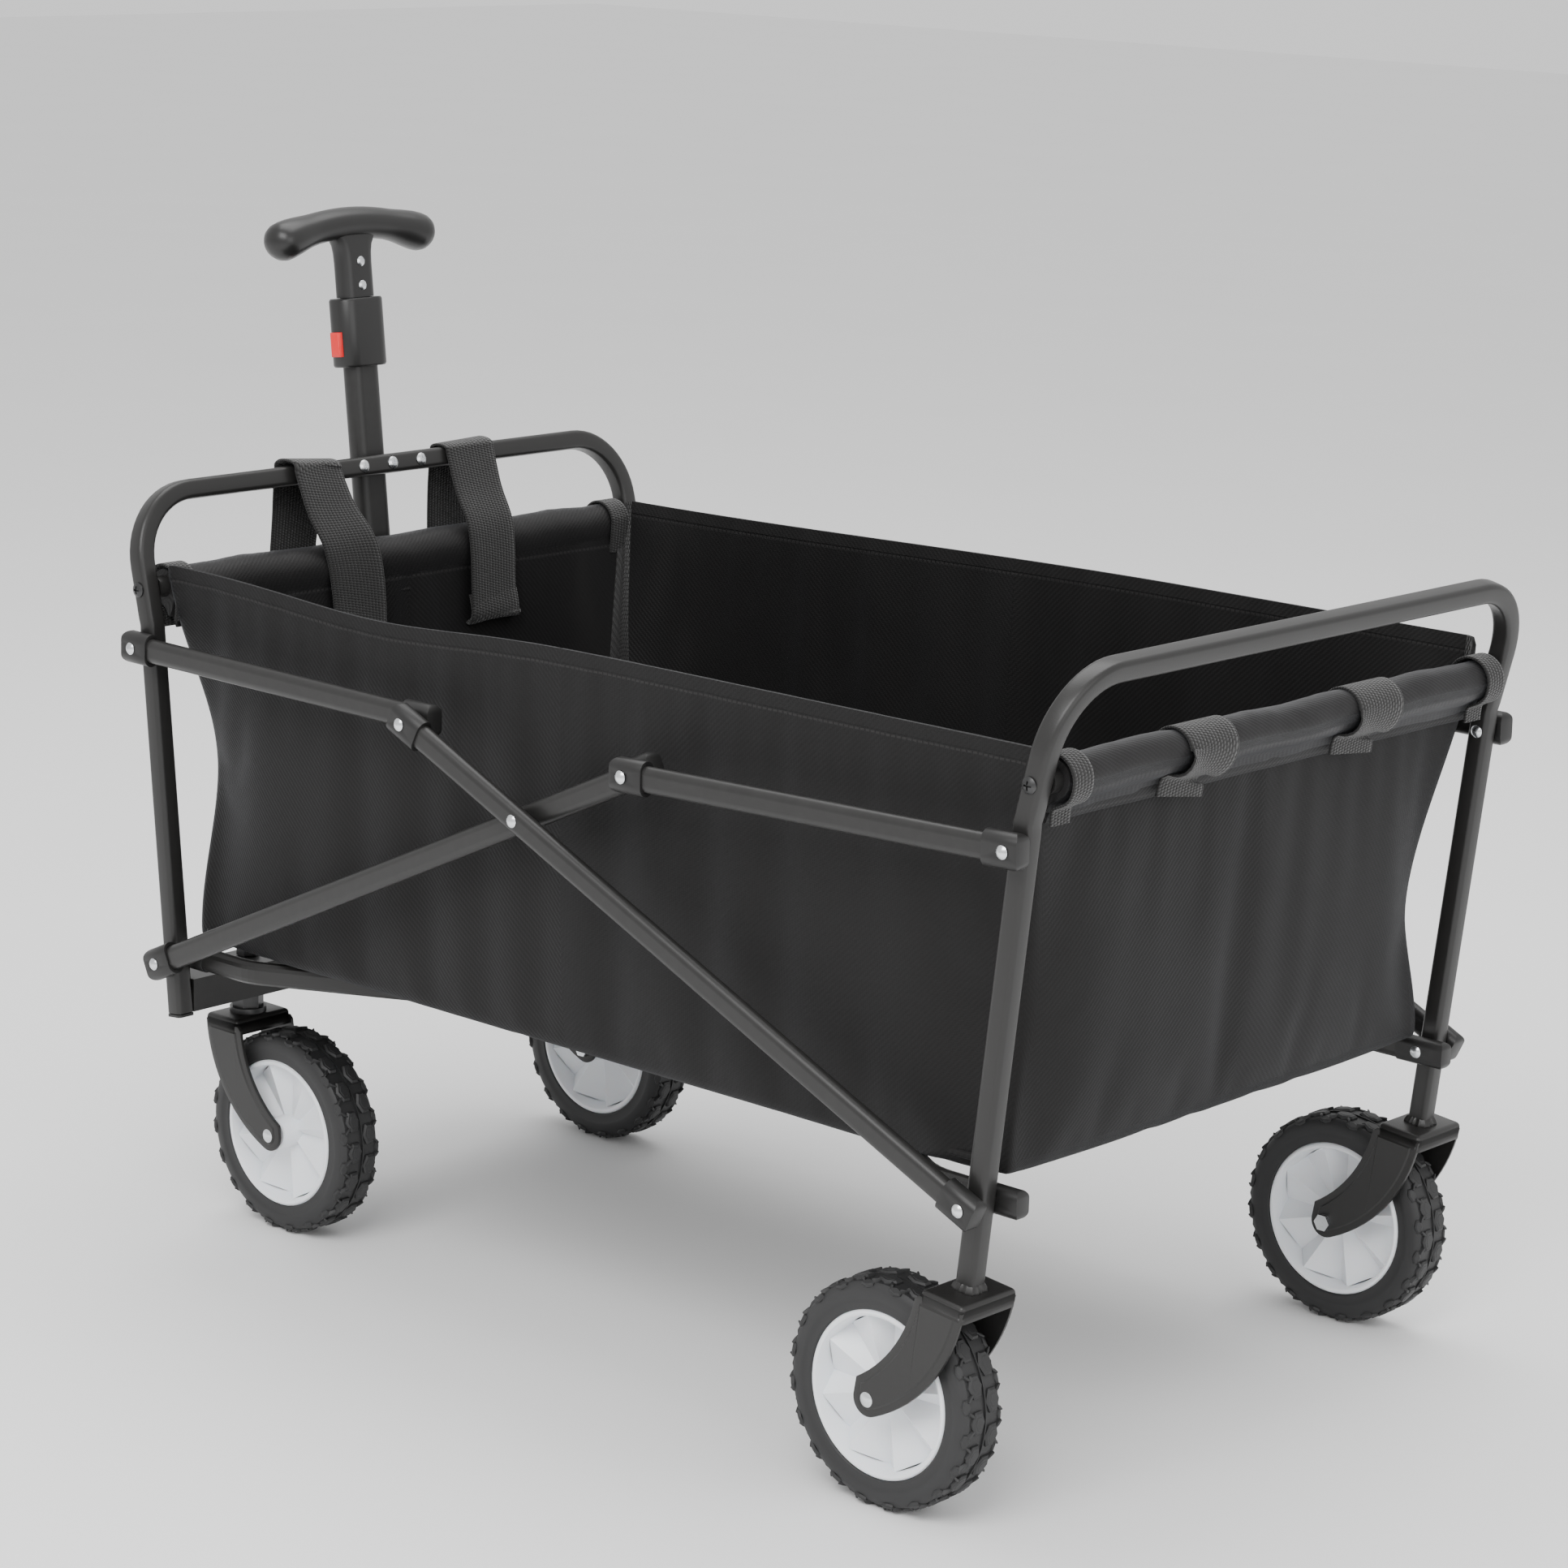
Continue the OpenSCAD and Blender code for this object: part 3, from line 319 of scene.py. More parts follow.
def lighter(colour, share):
    return tuple(min(1.0, c * share) for c in colour)


def surfaced(tree, shader, speck, colour, rough, strength, depth):
    """Gives the shader a colour, a roughness range over the patches, and the grain as a bump."""
    tree.links.new(colour, shader.inputs["Base Color"])
    tree.links.new(ranged(tree, speck.outputs["Patches"], *rough), shader.inputs["Roughness"])
    bumped(tree, shader, speck.outputs["Grain"], strength, depth)


def coated_material(name, colour, rough, grain, depth, highlight_strength, highlight_colour, coat=0.0):
    """Paint or moulded plastic: orange-peel grain, patchy gloss, and a painted highlight along the edges.
    """
    material, tree, shader = new_material(name, Coat_Weight=coat, Coat_Roughness=0.25,
                                          Specular_IOR_Level=0.42)
    speck = place_group(tree, "speckle", Grain=grain, Patches=14.0)
    # The edge group paints a highlight of the given strength and colour along the convex edges.
    edge = place_group(tree, "edge", Amount=highlight_strength)
    body = mixed(tree, ranged(tree, speck.outputs["Patches"], 0.0, 1.0, 0.3, 0.7),
                 lighter(colour, 0.94), lighter(colour, 1.07))
    surfaced(tree, shader, speck, mixed(tree, edge.outputs["Mask"], body, highlight_colour),
             (rough - 0.03, rough + 0.03, 0.3, 0.7), 0.35, depth)
    return material


def patchy_material(name, grain, patches, tones, rough, strength, **values):
    """One material in two slowly mixed tones, such as plated steel or moulded plastic."""
    material, tree, shader = new_material(name, **values)
    speck = place_group(tree, "speckle", Grain=grain, Patches=patches)
    surfaced(tree, shader, speck, mixed(tree, speck.outputs["Patches"], *tones), rough, strength, 0.0001)
    return material


def rubber_material(colour):
    """Matt tread rubber, darker in its hollows: painted shade."""
    material, tree, shader = new_material("Tread rubber")
    speck = place_group(tree, "speckle", Grain=1500.0, Patches=30.0)
    # Painted shade: the hollows darken to 0.45 of the rubber's colour.
    hollow_shade = ranged(tree, node(tree, "NewGeometry").outputs["Pointiness"], 1.0, 0.0, 0.40, 0.52)
    body = mixed(tree, speck.outputs["Patches"], lighter(colour, 0.8), lighter(colour, 1.25))
    surfaced(tree, shader, speck, mixed(tree, hollow_shade, body, lighter(colour, 0.45)), (0.48, 0.66),
             0.35, 0.0002)
    return material


def attribute(tree, name):
    return node(tree, "Attribute", {"attribute_name": name}).outputs["Fac"]


def cloth_material(name, colour, rough, sheen, thread, depth, seams):
    """Woven polyester over the attributes run and drop, with stitch rows at the depths in seams."""
    material, tree, shader = new_material(name, Sheen_Weight=sheen, Sheen_Roughness=0.45,
                                          Sheen_Tint=(0.75, 0.78, 0.85, 1.0),
                                          Specular_IOR_Level=0.22)
    run, drop = attribute(tree, "run"), attribute(tree, "drop")
    weave = place_group(tree, "weave", Along=run, Across=drop, Thread=thread)
    speck = place_group(tree, "speckle", Grain=700.0, Patches=7.0)
    # Painted shade and highlight: the weave's Shade makes the cloth darker between the threads and lighter
    # on their tops.
    body = mixed(tree, weave.outputs["Shade"], lighter(colour, 0.62), lighter(colour, 1.5))
    body = mixed(tree, ranged(tree, speck.outputs["Patches"], 0.0, 0.5, 0.35, 0.75),
                 body, lighter(colour, 1.5))
    height = maths(tree, "MULTIPLY_ADD", speck.outputs["Grain"], 0.35, weave.outputs["Height"])
    for depth_below in seams:
        offset = maths(tree, "SUBTRACT", drop, depth_below)
        row = place_group(tree, "stitch", Along=run, Offset=offset)
        body = mixed(tree, row.outputs["Mask"], body, lighter(colour, 3.2))
        groove = maths(tree, "LESS_THAN", maths(tree, "ABSOLUTE", offset), 0.0012)
        height = maths(tree, "SUBTRACT", height, maths(tree, "MULTIPLY", groove, 1.5))
        height = maths(tree, "MULTIPLY_ADD", row.outputs["Mask"], 2.0, height)
    tree.links.new(body, shader.inputs["Base Color"])
    tree.links.new(ranged(tree, speck.outputs["Patches"], rough - 0.06, rough + 0.08, 0.3, 0.7),
                   shader.inputs["Roughness"])
    bumped(tree, shader, height, 0.6, depth)
    return material


def webbing_material(colour):
    """Woven webbing: chunky weft ribs across, broken into columns, with denser edges."""
    material, tree, shader = new_material("Woven webbing", Sheen_Weight=0.25, Sheen_Roughness=0.5,
                                          Specular_IOR_Level=0.3)
    rib, column = 0.0021, 0.0032
    along = maths(tree, "DIVIDE", attribute(tree, "run"), rib)
    across = maths(tree, "DIVIDE", attribute(tree, "drop"), column)
    odd = maths(tree, "MULTIPLY", maths(tree, "MODULO", maths(tree, "FLOOR", across), 2.0), 0.5)
    ribs, columns = humps(tree, maths(tree, "ADD", along, odd)), humps(tree, across)
    height = maths(tree, "MULTIPLY", ribs, maths(tree, "POWER", columns, 0.5))
    speck = place_group(tree, "speckle", Grain=800.0, Patches=25.0)
    # Painted shade and highlight: the colour is darker between the ribs and lighter on their tops.
    body = mixed(tree, height, lighter(colour, 0.45), lighter(colour, 1.6))
    tree.links.new(body, shader.inputs["Base Color"])
    tree.links.new(ranged(tree, speck.outputs["Patches"], 0.60, 0.80), shader.inputs["Roughness"])
    bumped(tree, shader, height, 0.8, 0.0009)
    return material


FINISH = {}


def make_finishes():
    colours = sizes("finishes")
    steel, nylon = tuple(colours.steel), tuple(colours.nylon)
    # The sixth and seventh values of each coated finish give the strength and the colour of its painted
    # edge highlight.
    FINISH["steel"] = coated_material("Black powder coat", steel, 0.36, 1100.0, 0.00016, 0.06,
                                      (0.05, 0.049, 0.048))
    FINISH["nylon"] = coated_material("Black moulded nylon", nylon, 0.42, 1600.0, 0.00012, 0.08,
                                      (0.05, 0.05, 0.05))
    FINISH["grip"] = coated_material("Black moulded grip", lighter(nylon, 1.05), 0.36, 1300.0, 0.00014,
                                     0.05, (0.05, 0.05, 0.05), coat=0.10)
    FINISH["zinc"] = patchy_material(
        "Zinc plate", 1400.0, 120.0, ((0.60, 0.63, 0.66), (0.86, 0.87, 0.87)), (0.18, 0.36), 0.15,
        Metallic=1.0)
    FINISH["dark_steel"] = patchy_material(
        "Black plated steel", 1200.0, 90.0, ((0.035, 0.035, 0.036), (0.09, 0.09, 0.09)), (0.30, 0.48), 0.2,
        Metallic=0.85)
    FINISH["rubber"] = rubber_material(tuple(colours.rubber))
    rim = tuple(colours.rim)
    FINISH["rim"] = patchy_material(
        "White moulded plastic", 420.0, 26.0, (lighter(rim, 0.97), lighter(rim, 1.02)), (0.26, 0.38), 0.10,
        Coat_Weight=0.15, Coat_Roughness=0.2, Subsurface_Weight=0.08, Subsurface_Scale=0.004)
    FINISH["button"] = coated_material("Red moulded plastic", tuple(colours.button), 0.33, 900.0,
                                       0.0001, 0.3, (0.95, 0.25, 0.22), coat=0.2)
    cloth = tuple(colours.cloth)
    hem = sizes("fabric").hem
    FINISH["cloth"] = cloth_material("Black polyester twill", cloth, 0.66, 0.07, 0.0011, 0.00035, [hem])
    FINISH["lining"] = cloth_material("Coated back of the twill", lighter(cloth, 0.85), 0.44, 0.10,
                                      0.0011, 0.0002, [hem])
    # The sleeve is the body's cloth painted 1.5 times lighter, so that the round sleeve shows as bright as
    # the body: painted light.
    FINISH["sleeve"] = cloth_material("Twill sleeve painted lighter", lighter(cloth, 1.5), 0.46, 0.10, 0.0011, 0.00025, [])
    FINISH["band"] = cloth_material("Stitched band", lighter(cloth, 1.1), 0.60, 0.08, 0.0011, 0.0003,
                                    [0.0035, 0.0165])
    FINISH["board"] = cloth_material("Board cover", cloth, 0.62, 0.08, 0.0012, 0.0003, [])
    FINISH["webbing"] = webbing_material(tuple(colours.webbing))


# ---------------------------------------------------------------- mesh helpers

def edges_of(found):
    return [g for g in found if isinstance(g, bmesh.types.BMEdge)]


def verts_of(found):
    return [g for g in found if isinstance(g, bmesh.types.BMVert)]


def faces_of(found):
    return [g for g in found if isinstance(g, bmesh.types.BMFace)]


def close_holes(bm):
    """Fills every open end."""
    open_edges = [e for e in bm.edges if e.is_boundary]
    if open_edges:
        bmesh.ops.holes_fill(bm, edges=open_edges, sides=0)


def face_out(bm):
    bmesh.ops.recalc_face_normals(bm, faces=bm.faces)


def sealed(bm):
    """Fills every open end and turns every face outwards."""
    close_holes(bm)
    face_out(bm)


def mesh_from(bm, name):
    """Moves the bmesh into a new mesh."""
    mesh = bpy.data.meshes.new(name)
    bm.to_mesh(mesh)
    bm.free()
    return mesh


def smooth_share(value):
    """Eases a share from 0 to 1 with no slope at either end."""
    value = max(0.0, min(1.0, value))
    return value * value * (3 - 2 * value)


def add_object(name, data):
    """A new object in the scene."""
    made = bpy.data.objects.new(name, data)
    bpy.context.scene.collection.objects.link(made)
    return made


def joined(bm, other):
    """Adds another bmesh's faces to bm."""
    face_out(other)
    mesh = mesh_from(other, "joining")
    bm.from_mesh(mesh)
    bpy.data.meshes.remove(mesh)


def cloth_layers(bm):
    """The two layers of a cloth's map: its run along and its drop across."""
    return bm.verts.layers.float.new("run"), bm.verts.layers.float.new("drop")


def to_piece(bm, name, finish, body, stands_for=(), sharp=38.0):
    """Turns the bmesh into a named piece that rides on body and stands for some CAD nodes."""
    for edge in bm.edges:
        edge.smooth = edge.calc_face_angle(0.0) < math.radians(sharp)
    for face in bm.faces:
        face.smooth = True
    piece = add_object(name, mesh_from(bm, name))
    piece.data.materials.append(FINISH[finish])
    if body:
        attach(piece, body)
    if stands_for:
        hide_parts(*stands_for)
    return piece


def rounded_square(bm, width, radius, height=None, segments=4):
    """A closed loop of vertices round a rounded rectangle in the XY plane."""
    made = bmesh.ops.create_grid(bm, x_segments=1, y_segments=1, size=0.5)["verts"]
    bmesh.ops.scale(bm, vec=(width, height or width, 1.0), verts=made)
    bmesh.ops.bevel(bm, geom=made, offset=radius, offset_type="OFFSET", segments=segments,
                    profile=0.5, affect="VERTICES", material=-1)
    face = max([f for f in bm.faces if f.is_valid], key=lambda f: len(f.verts))
    loop = list(face.verts)
    bmesh.ops.delete(bm, geom=[face], context="FACES_ONLY")
    return loop


def ring(bm, radius, segments, flat=1.0):
    """A closed loop of vertices round an ellipse in the XY plane."""
    made = bmesh.ops.create_circle(bm, cap_ends=False, radius=radius, segments=segments)["verts"]
    bmesh.ops.scale(bm, vec=(1.0, flat, 1.0), verts=made)
    return made


def edges_between(verts):
    inside = set(verts)
    return list({e for v in verts for e in v.link_edges if e.other_vert(v) in inside})


def sweep(bm, loop, stations, runs=None, run_layer=None):
    """Carries a loop of vertices drawn round the origin through the stations, skinning it on the way."""
    edges = edges_between(loop)
    bmesh.ops.transform(bm, matrix=stations[0], verts=loop)
    everything = list(loop)
    before = stations[0]
    for i, place in enumerate(stations[1:], 1):
        found = bmesh.ops.extrude_edge_only(bm, edges=edges)["geom"]
        new = verts_of(found)
        fresh = set(new)
        edges = [e for e in edges_of(found) if e.verts[0] in fresh and e.verts[1] in fresh]
        bmesh.ops.transform(bm, matrix=place @ before.inverted(), verts=new)
        if run_layer is not None:
            for v in new:
                v[run_layer] = runs[i]
        everything += new
        before = place
    return everything


def facing(point, ahead, side=Vector((0, 1, 0))):
    """A station at point whose Z looks along ahead and whose Y is nearest to side."""
    z = ahead.normalized()
    y = (side - side.dot(z) * z).normalized()
    x = y.cross(z)
    return Matrix.Translation(point) @ Matrix((x, y, z)).transposed().to_4x4()


def smooth_path(points, steps):
    """Points on a soft curve through the given ones, steps to each span."""
    found = []
    last = len(points) - 1
    for i in range(last):
        a, b, c, d = (points[max(0, min(last, i + k))] for k in (-1, 0, 1, 2))
        for k in range(steps):
            t = k / steps
            found.append(0.5 * (2 * b + (c - a) * t + (2 * a - 5 * b + 4 * c - d) * t * t
                                + (3 * b - 3 * c + d - a) * t ** 3))
    found.append(points[last].copy())
    return found


def stations_along(points, side=Vector((0, 1, 0))):
    """Stations on a path, and the length run at each."""
    places, runs = [], []
    run = 0.0
    for i, p in enumerate(points):
        ahead = points[min(i + 1, len(points) - 1)] - points[max(i - 1, 0)]
        if i:
            run += (p - points[i - 1]).length
        places.append(facing(p, ahead, side))
        runs.append(run)
    return places, runs


def ribbon(name, points, width, thickness, body, stands_for=(), twists=None):
    """Flat webbing along a path: its width lies across the path, with rounded selvedges."""
    bm = bmesh.new()
    run_layer, drop_layer = cloth_layers(bm)
    loop = rounded_square(bm, thickness, thickness * 0.48, height=width, segments=2)
    long_edges = [e for e in edges_between(loop) if e.calc_length() > width * 0.5]
    bmesh.ops.subdivide_edges(bm, edges=long_edges, cuts=6)
    loop = list(bm.verts)
    for v in loop:
        v[drop_layer] = v.co.y + width / 2
    places, runs = stations_along(points)
    if twists:
        places = [place @ Matrix.Rotation(twists(run / runs[-1]), 4, "Z")
                  for place, run in zip(places, runs)]
    sweep(bm, loop, places, runs, run_layer)
    sealed(bm)
    return to_piece(bm, name, "webbing", body, stands_for, sharp=60.0)


def boxed(bm, low, high):
    """A box between two corners; returns its vertices."""
    low, high = Vector(low), Vector(high)
    place = Matrix.Translation((low + high) / 2) @ Matrix.Diagonal((*(high - low), 1.0))
    return bmesh.ops.create_cube(bm, size=1.0, matrix=place)["verts"]


def eased(bm, geom, width, segments=3):
    bmesh.ops.bevel(bm, geom=geom, offset=width, offset_type="OFFSET", segments=segments, profile=0.5,
                    affect="EDGES", clamp_overlap=True, material=-1)


def crisp_edges(edges, angle):
    """The edges whose two faces turn by more than angle, in degrees."""
    return [e for e in edges if len(e.link_faces) == 2
            and e.calc_face_angle(0.0) > math.radians(angle)]


def softened(name, body, finish, width, segments):
    """A copy of a CAD node with its edges eased, to stand for that node."""
    bm = bmesh.new()
    bm.from_mesh(frame["nodes"][name].data)
    bmesh.ops.remove_doubles(bm, verts=bm.verts, dist=1e-6)
    bmesh.ops.dissolve_limit(bm, angle_limit=math.radians(1.0), verts=bm.verts, edges=bm.edges)
    eased(bm, crisp_edges(bm.edges, 30.0), width, segments)
    return to_piece(bm, name + "_eased", finish, body, [name], sharp=40.0)


def spun(bm, profile, steps):
    """Turns a closed profile of (y, radius) points about the Y axis."""
    made = [bm.verts.new((radius, y, 0.0)) for y, radius in profile]
    lines = [bm.edges.new(pair) for pair in zip(made, made[1:] + made[:1])]
    bmesh.ops.spin(bm, geom=made + lines, cent=(0, 0, 0), axis=(0, 1, 0), dvec=(0, 0, 0),
                   angle=2 * math.pi, steps=steps, use_merge=True, use_duplicate=False)


# ---------------------------------------------------------------- frame

def leg_reach(z):
    """Distance of the legs from the middle of the wagon at height z, below the bend."""
    low = pivot("rear_frame_pivot")
    return low.x - MIDDLE + (z - low.z) * math.tan(LEAN)


def end_frame(name, end, stands_for, body):
    """A bent square tube: two leaning legs, a bend, two corners and the bar. End is -1 in front."""
    s = sizes("frame")
    low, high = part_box(stands_for)
    leg_y = high.y - s.tube / 2
    foot = low.z + s.tube / 2 * math.sin(LEAN)
    lean, steep = end * LEAN, end * (LEAN + s.bar_lean)
    bend = Vector((MIDDLE + end * leg_reach(s.bend_height), 0, s.bend_height))
    lower = Matrix.Translation(bend) @ Matrix.Rotation(lean, 4, "Y")
    upper = Matrix.Translation(bend) @ Matrix.Rotation(steep, 4, "Y")
    bend_cut = 0.006
    length = (s.bar_height - s.bend_height) / math.cos(LEAN + s.bar_lean)
    leg_length = (s.bend_height - foot) / math.cos(LEAN)
    stations = [lower @ Matrix.Translation((0, leg_y, -leg_length)),
                lower @ Matrix.Translation((0, leg_y, -bend_cut))]
    half_turn = Matrix.Translation(bend + Vector((-end * 0.0004, 0, 0))) \
        @ Matrix.Rotation((lean + steep) / 2, 4, "Y") @ Matrix.Translation((0, leg_y, 0))
    stations += [half_turn, upper @ Matrix.Translation((0, leg_y, bend_cut))]
    steps = 14
    for i in range(steps + 1):
        turn = math.radians(90) * i / steps
        spot = Vector((0, leg_y - s.corner * (1 - math.cos(turn)),
                       length - s.corner * (1 - math.sin(turn))))
        stations.append(upper @ Matrix.Translation(spot) @ Matrix.Rotation(turn, 4, "X"))
    along_bar = Matrix.Rotation(math.radians(90), 4, "X")
    stations.append(upper @ Matrix.Translation((0, 0, length)) @ along_bar)
    bm = bmesh.new()
    sweep(bm, rounded_square(bm, s.tube, s.tube_round, segments=4), stations)
    bmesh.ops.mirror(bm, geom=bm.verts[:] + bm.edges[:] + bm.faces[:], matrix=Matrix.Identity(4),
                     merge_dist=1e-5, axis="Y")
    close_holes(bm)
    bmesh.ops.remove_doubles(bm, verts=bm.verts, dist=2e-6)
    face_out(bm)
    return to_piece(bm, name, "steel", body, [stands_for], sharp=30.0)


def arc_points(centre, radius, start, end, count):
    """Points on an arc in the XZ plane, angles in degrees."""
    return [(centre[0] + radius * math.cos(math.radians(start + (end - start) * i / (count - 1))),
             centre[1] + radius * math.sin(math.radians(start + (end - start) * i / (count - 1))))
            for i in range(count)]


def fork_shape(bm, trail, rise, place):
    """A pressed fork about its axle: two swept plates with a raised panel, and a folded crown."""
    s = sizes("frame")
    half_crown, skirt, end_radius, top_gap = 0.018, 0.012, 0.012, 0.0045
    half = s.fork_width / 2
    reach = trail + half_crown - end_radius
    arc_z = rise + 0.006
    arc_x = (arc_z ** 2 - reach ** 2) / (2 * reach)
    outer_r, inner_r = arc_x + trail + half_crown, arc_x + trail - 0.001
    outer, inner = (-arc_x, arc_z), (-arc_x - 0.020, arc_z - 0.002)
    tangent = math.degrees(math.atan2(-arc_z, arc_x))
    top = rise - top_gap
    outer_top = math.degrees(math.asin((top - outer[1]) / outer_r))
    inner_top = math.degrees(math.asin((top - 0.003 - inner[1]) / inner_r))
    inner_low = -math.degrees(math.acos((-0.0113 - inner[0]) / inner_r))
    outline = arc_points((0, 0), end_radius, 172, 360 + tangent, 12)
    outline += arc_points(outer, outer_r, tangent + 1, outer_top, 16)
    inner_points = arc_points(inner, inner_r, inner_top, inner_low, 14)
    outline += [(inner_points[0][0] + 0.003, top)] + inner_points
    for side in (-1, 1):
        corners = [bm.verts.new((x, side * (half - s.plate), z)) for x, z in outline]
        plate = bm.faces.new(corners)
        found = bmesh.ops.extrude_face_region(bm, geom=[plate])["geom"]
        bmesh.ops.translate(bm, vec=(0, side * s.plate, 0), verts=verts_of(found))
        face = faces_of(found)[0]
        rim_edges = list(face.edges)
        bmesh.ops.inset_region(bm, faces=[face], thickness=0.0048, use_even_offset=True)
        bmesh.ops.inset_region(bm, faces=[face], thickness=0.0012, depth=0.0009, use_even_offset=True)
        eased(bm, rim_edges, 0.0007, 2)
    crown_half = half + 0.0002
    crown = boxed(bm, (trail - half_crown, -crown_half, rise - skirt),
                  (trail + half_crown, crown_half, rise))
    crown_faces = list({f for v in crown for f in v.link_faces})
    below = min(crown_faces, key=lambda f: f.calc_center_median().z)
    crown_faces.remove(below)
    bmesh.ops.delete(bm, geom=[below], context="FACES_ONLY")
    eased(bm, crisp_edges({e for f in crown_faces for e in f.edges}, 60.0), 0.0035, 4)
    shell = [f for f in bm.faces if f.is_valid and all(
        v.co.z > rise - skirt - 1e-6 and abs(v.co.x - trail) < half_crown + 1e-6
        and any(e.is_boundary for e in f.edges) or v.co.z > rise - skirt - 1e-6 for v in f.verts)
        and any(v.co.z > rise - 0.0029 for v in f.verts)]
    face_out(bm)
    bmesh.ops.solidify(bm, geom=shell, thickness=s.plate)
    face_out(bm)
    bmesh.ops.transform(bm, matrix=place, verts=bm.verts)


def weld_bead(bm, place, width, height):
    """A lumpy fillet round the foot of a square tube, standing on the local XY plane."""
    loop = rounded_square(bm, width, 0.004, segments=5)
    bmesh.ops.subdivide_edges(bm, edges=[e for e in edges_between(loop)
                                         if e.calc_length() > 0.004], cuts=8)
    loop = [v for v in bm.verts if not v.link_faces and abs(v.co.z) < 1e-9 and v.link_edges]
    spread = [(1.26, 0.0), (1.27, 0.0006), (1.22, 0.0018), (1.10, height * 0.75), (1.0, height)]
    stations = [Matrix.Translation((0, 0, up)) @ Matrix.Diagonal((out, out, 1.0, 1.0))
                for out, up in spread]
    made = sweep(bm, loop, stations)
    for v in made:
        around = math.atan2(v.co.y, v.co.x)
        lump = 0.0005 * math.sin(15 * around) + 0.0003 * math.sin(23 * around + 1.0)
        share = 1.0 if v.co.z < height * 0.9 else 0.2
        v.co += Vector((v.co.x, v.co.y, 0)).normalized() * lump * share
    bmesh.ops.transform(bm, matrix=place, verts=made)


def make_forks():
    s = sizes("frame")
    rear_axle = pivot("wheel_spin_rear_left")
    for side, word in ((-1, "left"), (1, "right")):
        leg_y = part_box("rear_frame_tube")[1].y - s.tube / 2
        axle = Vector((rear_axle.x, side * leg_y, rear_axle.z))
        trail, rise = 0.050, sizes("wheels").radius + 0.0116
        place = Matrix.Translation(axle) @ Matrix.Rotation(LEAN, 4, "Y")
        bm = bmesh.new()
        fork_shape(bm, trail, rise, place)
        plates = bmesh.new()
        weld_bead(plates, place @ Matrix.Translation((trail, 0, rise)), s.tube, 0.0052)
        joined(bm, plates)
        to_piece(bm, "rear_fork_" + word, "steel", "rear_frame",
                 ["rear_forks"], sharp=32.0)
        swivel, front_axle = pivot("caster_swivel_" + word), pivot("wheel_spin_front_" + word)
        trail, rise = front_axle.x - swivel.x, swivel.z - front_axle.z
        place = Matrix.Translation(front_axle) @ Matrix.Scale(-1, 4, (1, 0, 0))
        bm = bmesh.new()
        fork_shape(bm, trail, rise, place)
        face_out(bm)
        to_piece(bm, "caster_fork_shell_" + word, "steel", "caster_" + word,
                 ["caster_fork_" + word], sharp=32.0)


# ---------------------------------------------------------------- wheels

def tread_block(bm, length, width, height, place, bevel):
    """A six-sided block whose points lie along local X; it stands up local Z."""
    made = bmesh.ops.create_circle(bm, cap_ends=True, radius=0.5, segments=6)["verts"]
    bmesh.ops.scale(bm, vec=(length, width / math.cos(math.radians(30)), 1.0), verts=made)
    base = made[0].link_faces[0]
    found = bmesh.ops.extrude_face_region(bm, geom=[base])["geom"]
    top = verts_of(found)
    bmesh.ops.translate(bm, vec=(0, 0, height), verts=top)
    top_face = max(faces_of(found), key=lambda f: f.calc_center_median().z)
    everything = set(made) | set(top)
    cut = bmesh.ops.bevel(bm, geom=list(top_face.edges), offset=bevel, offset_type="OFFSET",
                          segments=1, profile=0.5, affect="EDGES", material=-1)
    everything = {v for v in everything if v.is_valid} | set(cut["verts"])
    bmesh.ops.transform(bm, matrix=place, verts=list(everything))


def make_tyre(name, body, centre, stands_for):
    w = sizes("wheels")
    base = w.radius - w.block_height
    half = w.width / 2
    wall_low = w.rim_radius + 0.0002
    shoulder = [(0.0, base), (half * 0.55, base), (half * 0.80, base - 0.0005),
                (half * 0.91, base - 0.0022), (half * 0.975, base - 0.0055), (half, base - 0.0095),
                (half * 0.99, wall_low + 0.0073), (half * 0.972, wall_low + 0.0066),
                (half * 0.970, wall_low + 0.0010), (half * 0.93, wall_low)]
    bm = bmesh.new()
    spun(bm, shoulder + [(-y, r) for y, r in reversed(shoulder[1:])], 96)
    pitch = 2 * math.pi / w.blocks
    arc = pitch * w.radius

    def seat(turn, y, up, tilt=0.0, axis="X"):
        """A place on the tyre at an angle round it, a distance across, and a height up."""
        return Matrix.Rotation(turn, 4, "Y") @ Matrix.Translation((0, y, base + up)) \
            @ Matrix.Rotation(tilt, 4, axis)

    for i in range(w.blocks):
        for row in (-1, 1):
            turn = pitch * (i + (0.5 if row > 0 else 0.0))
            block, pad = seat(turn, row * half * 0.40, -0.0006), seat(turn, row * half * 0.40,
                                                                      w.block_height - 0.0002)
            tread_block(bm, arc * 0.74, half * 0.62, w.block_height + 0.0006, block, 0.0013)
            tread_block(bm, arc * 0.42, half * 0.34, 0.0004, pad, 0.0003)
            lug = seat(turn + pitch / 2, row * half * 0.835, -0.0024, -row * 0.55)
            tread_block(bm, arc * 0.46, half * 0.30, w.block_height + 0.0004, lug, 0.0010)
            for lean in (-0.85, 0.85):
                rib = seat(turn + math.copysign(pitch * 0.27, lean), row * half * 0.74, -0.0010,
                           row * lean, "Z")
                tread_block(bm, arc * 0.30, 0.0018, 0.0030, rib, 0.0004)
    groove = bmesh.new()
    spun(groove, [(0.0006, base - 0.001), (0.0004, base + 0.0014), (-0.0004, base + 0.0014),
                  (-0.0006, base - 0.001)], 96)
    joined(bm, groove)
    face_out(bm)
    bmesh.ops.translate(bm, vec=centre, verts=bm.verts)
    return to_piece(bm, name, "rubber", body, [stands_for], sharp=34.0)


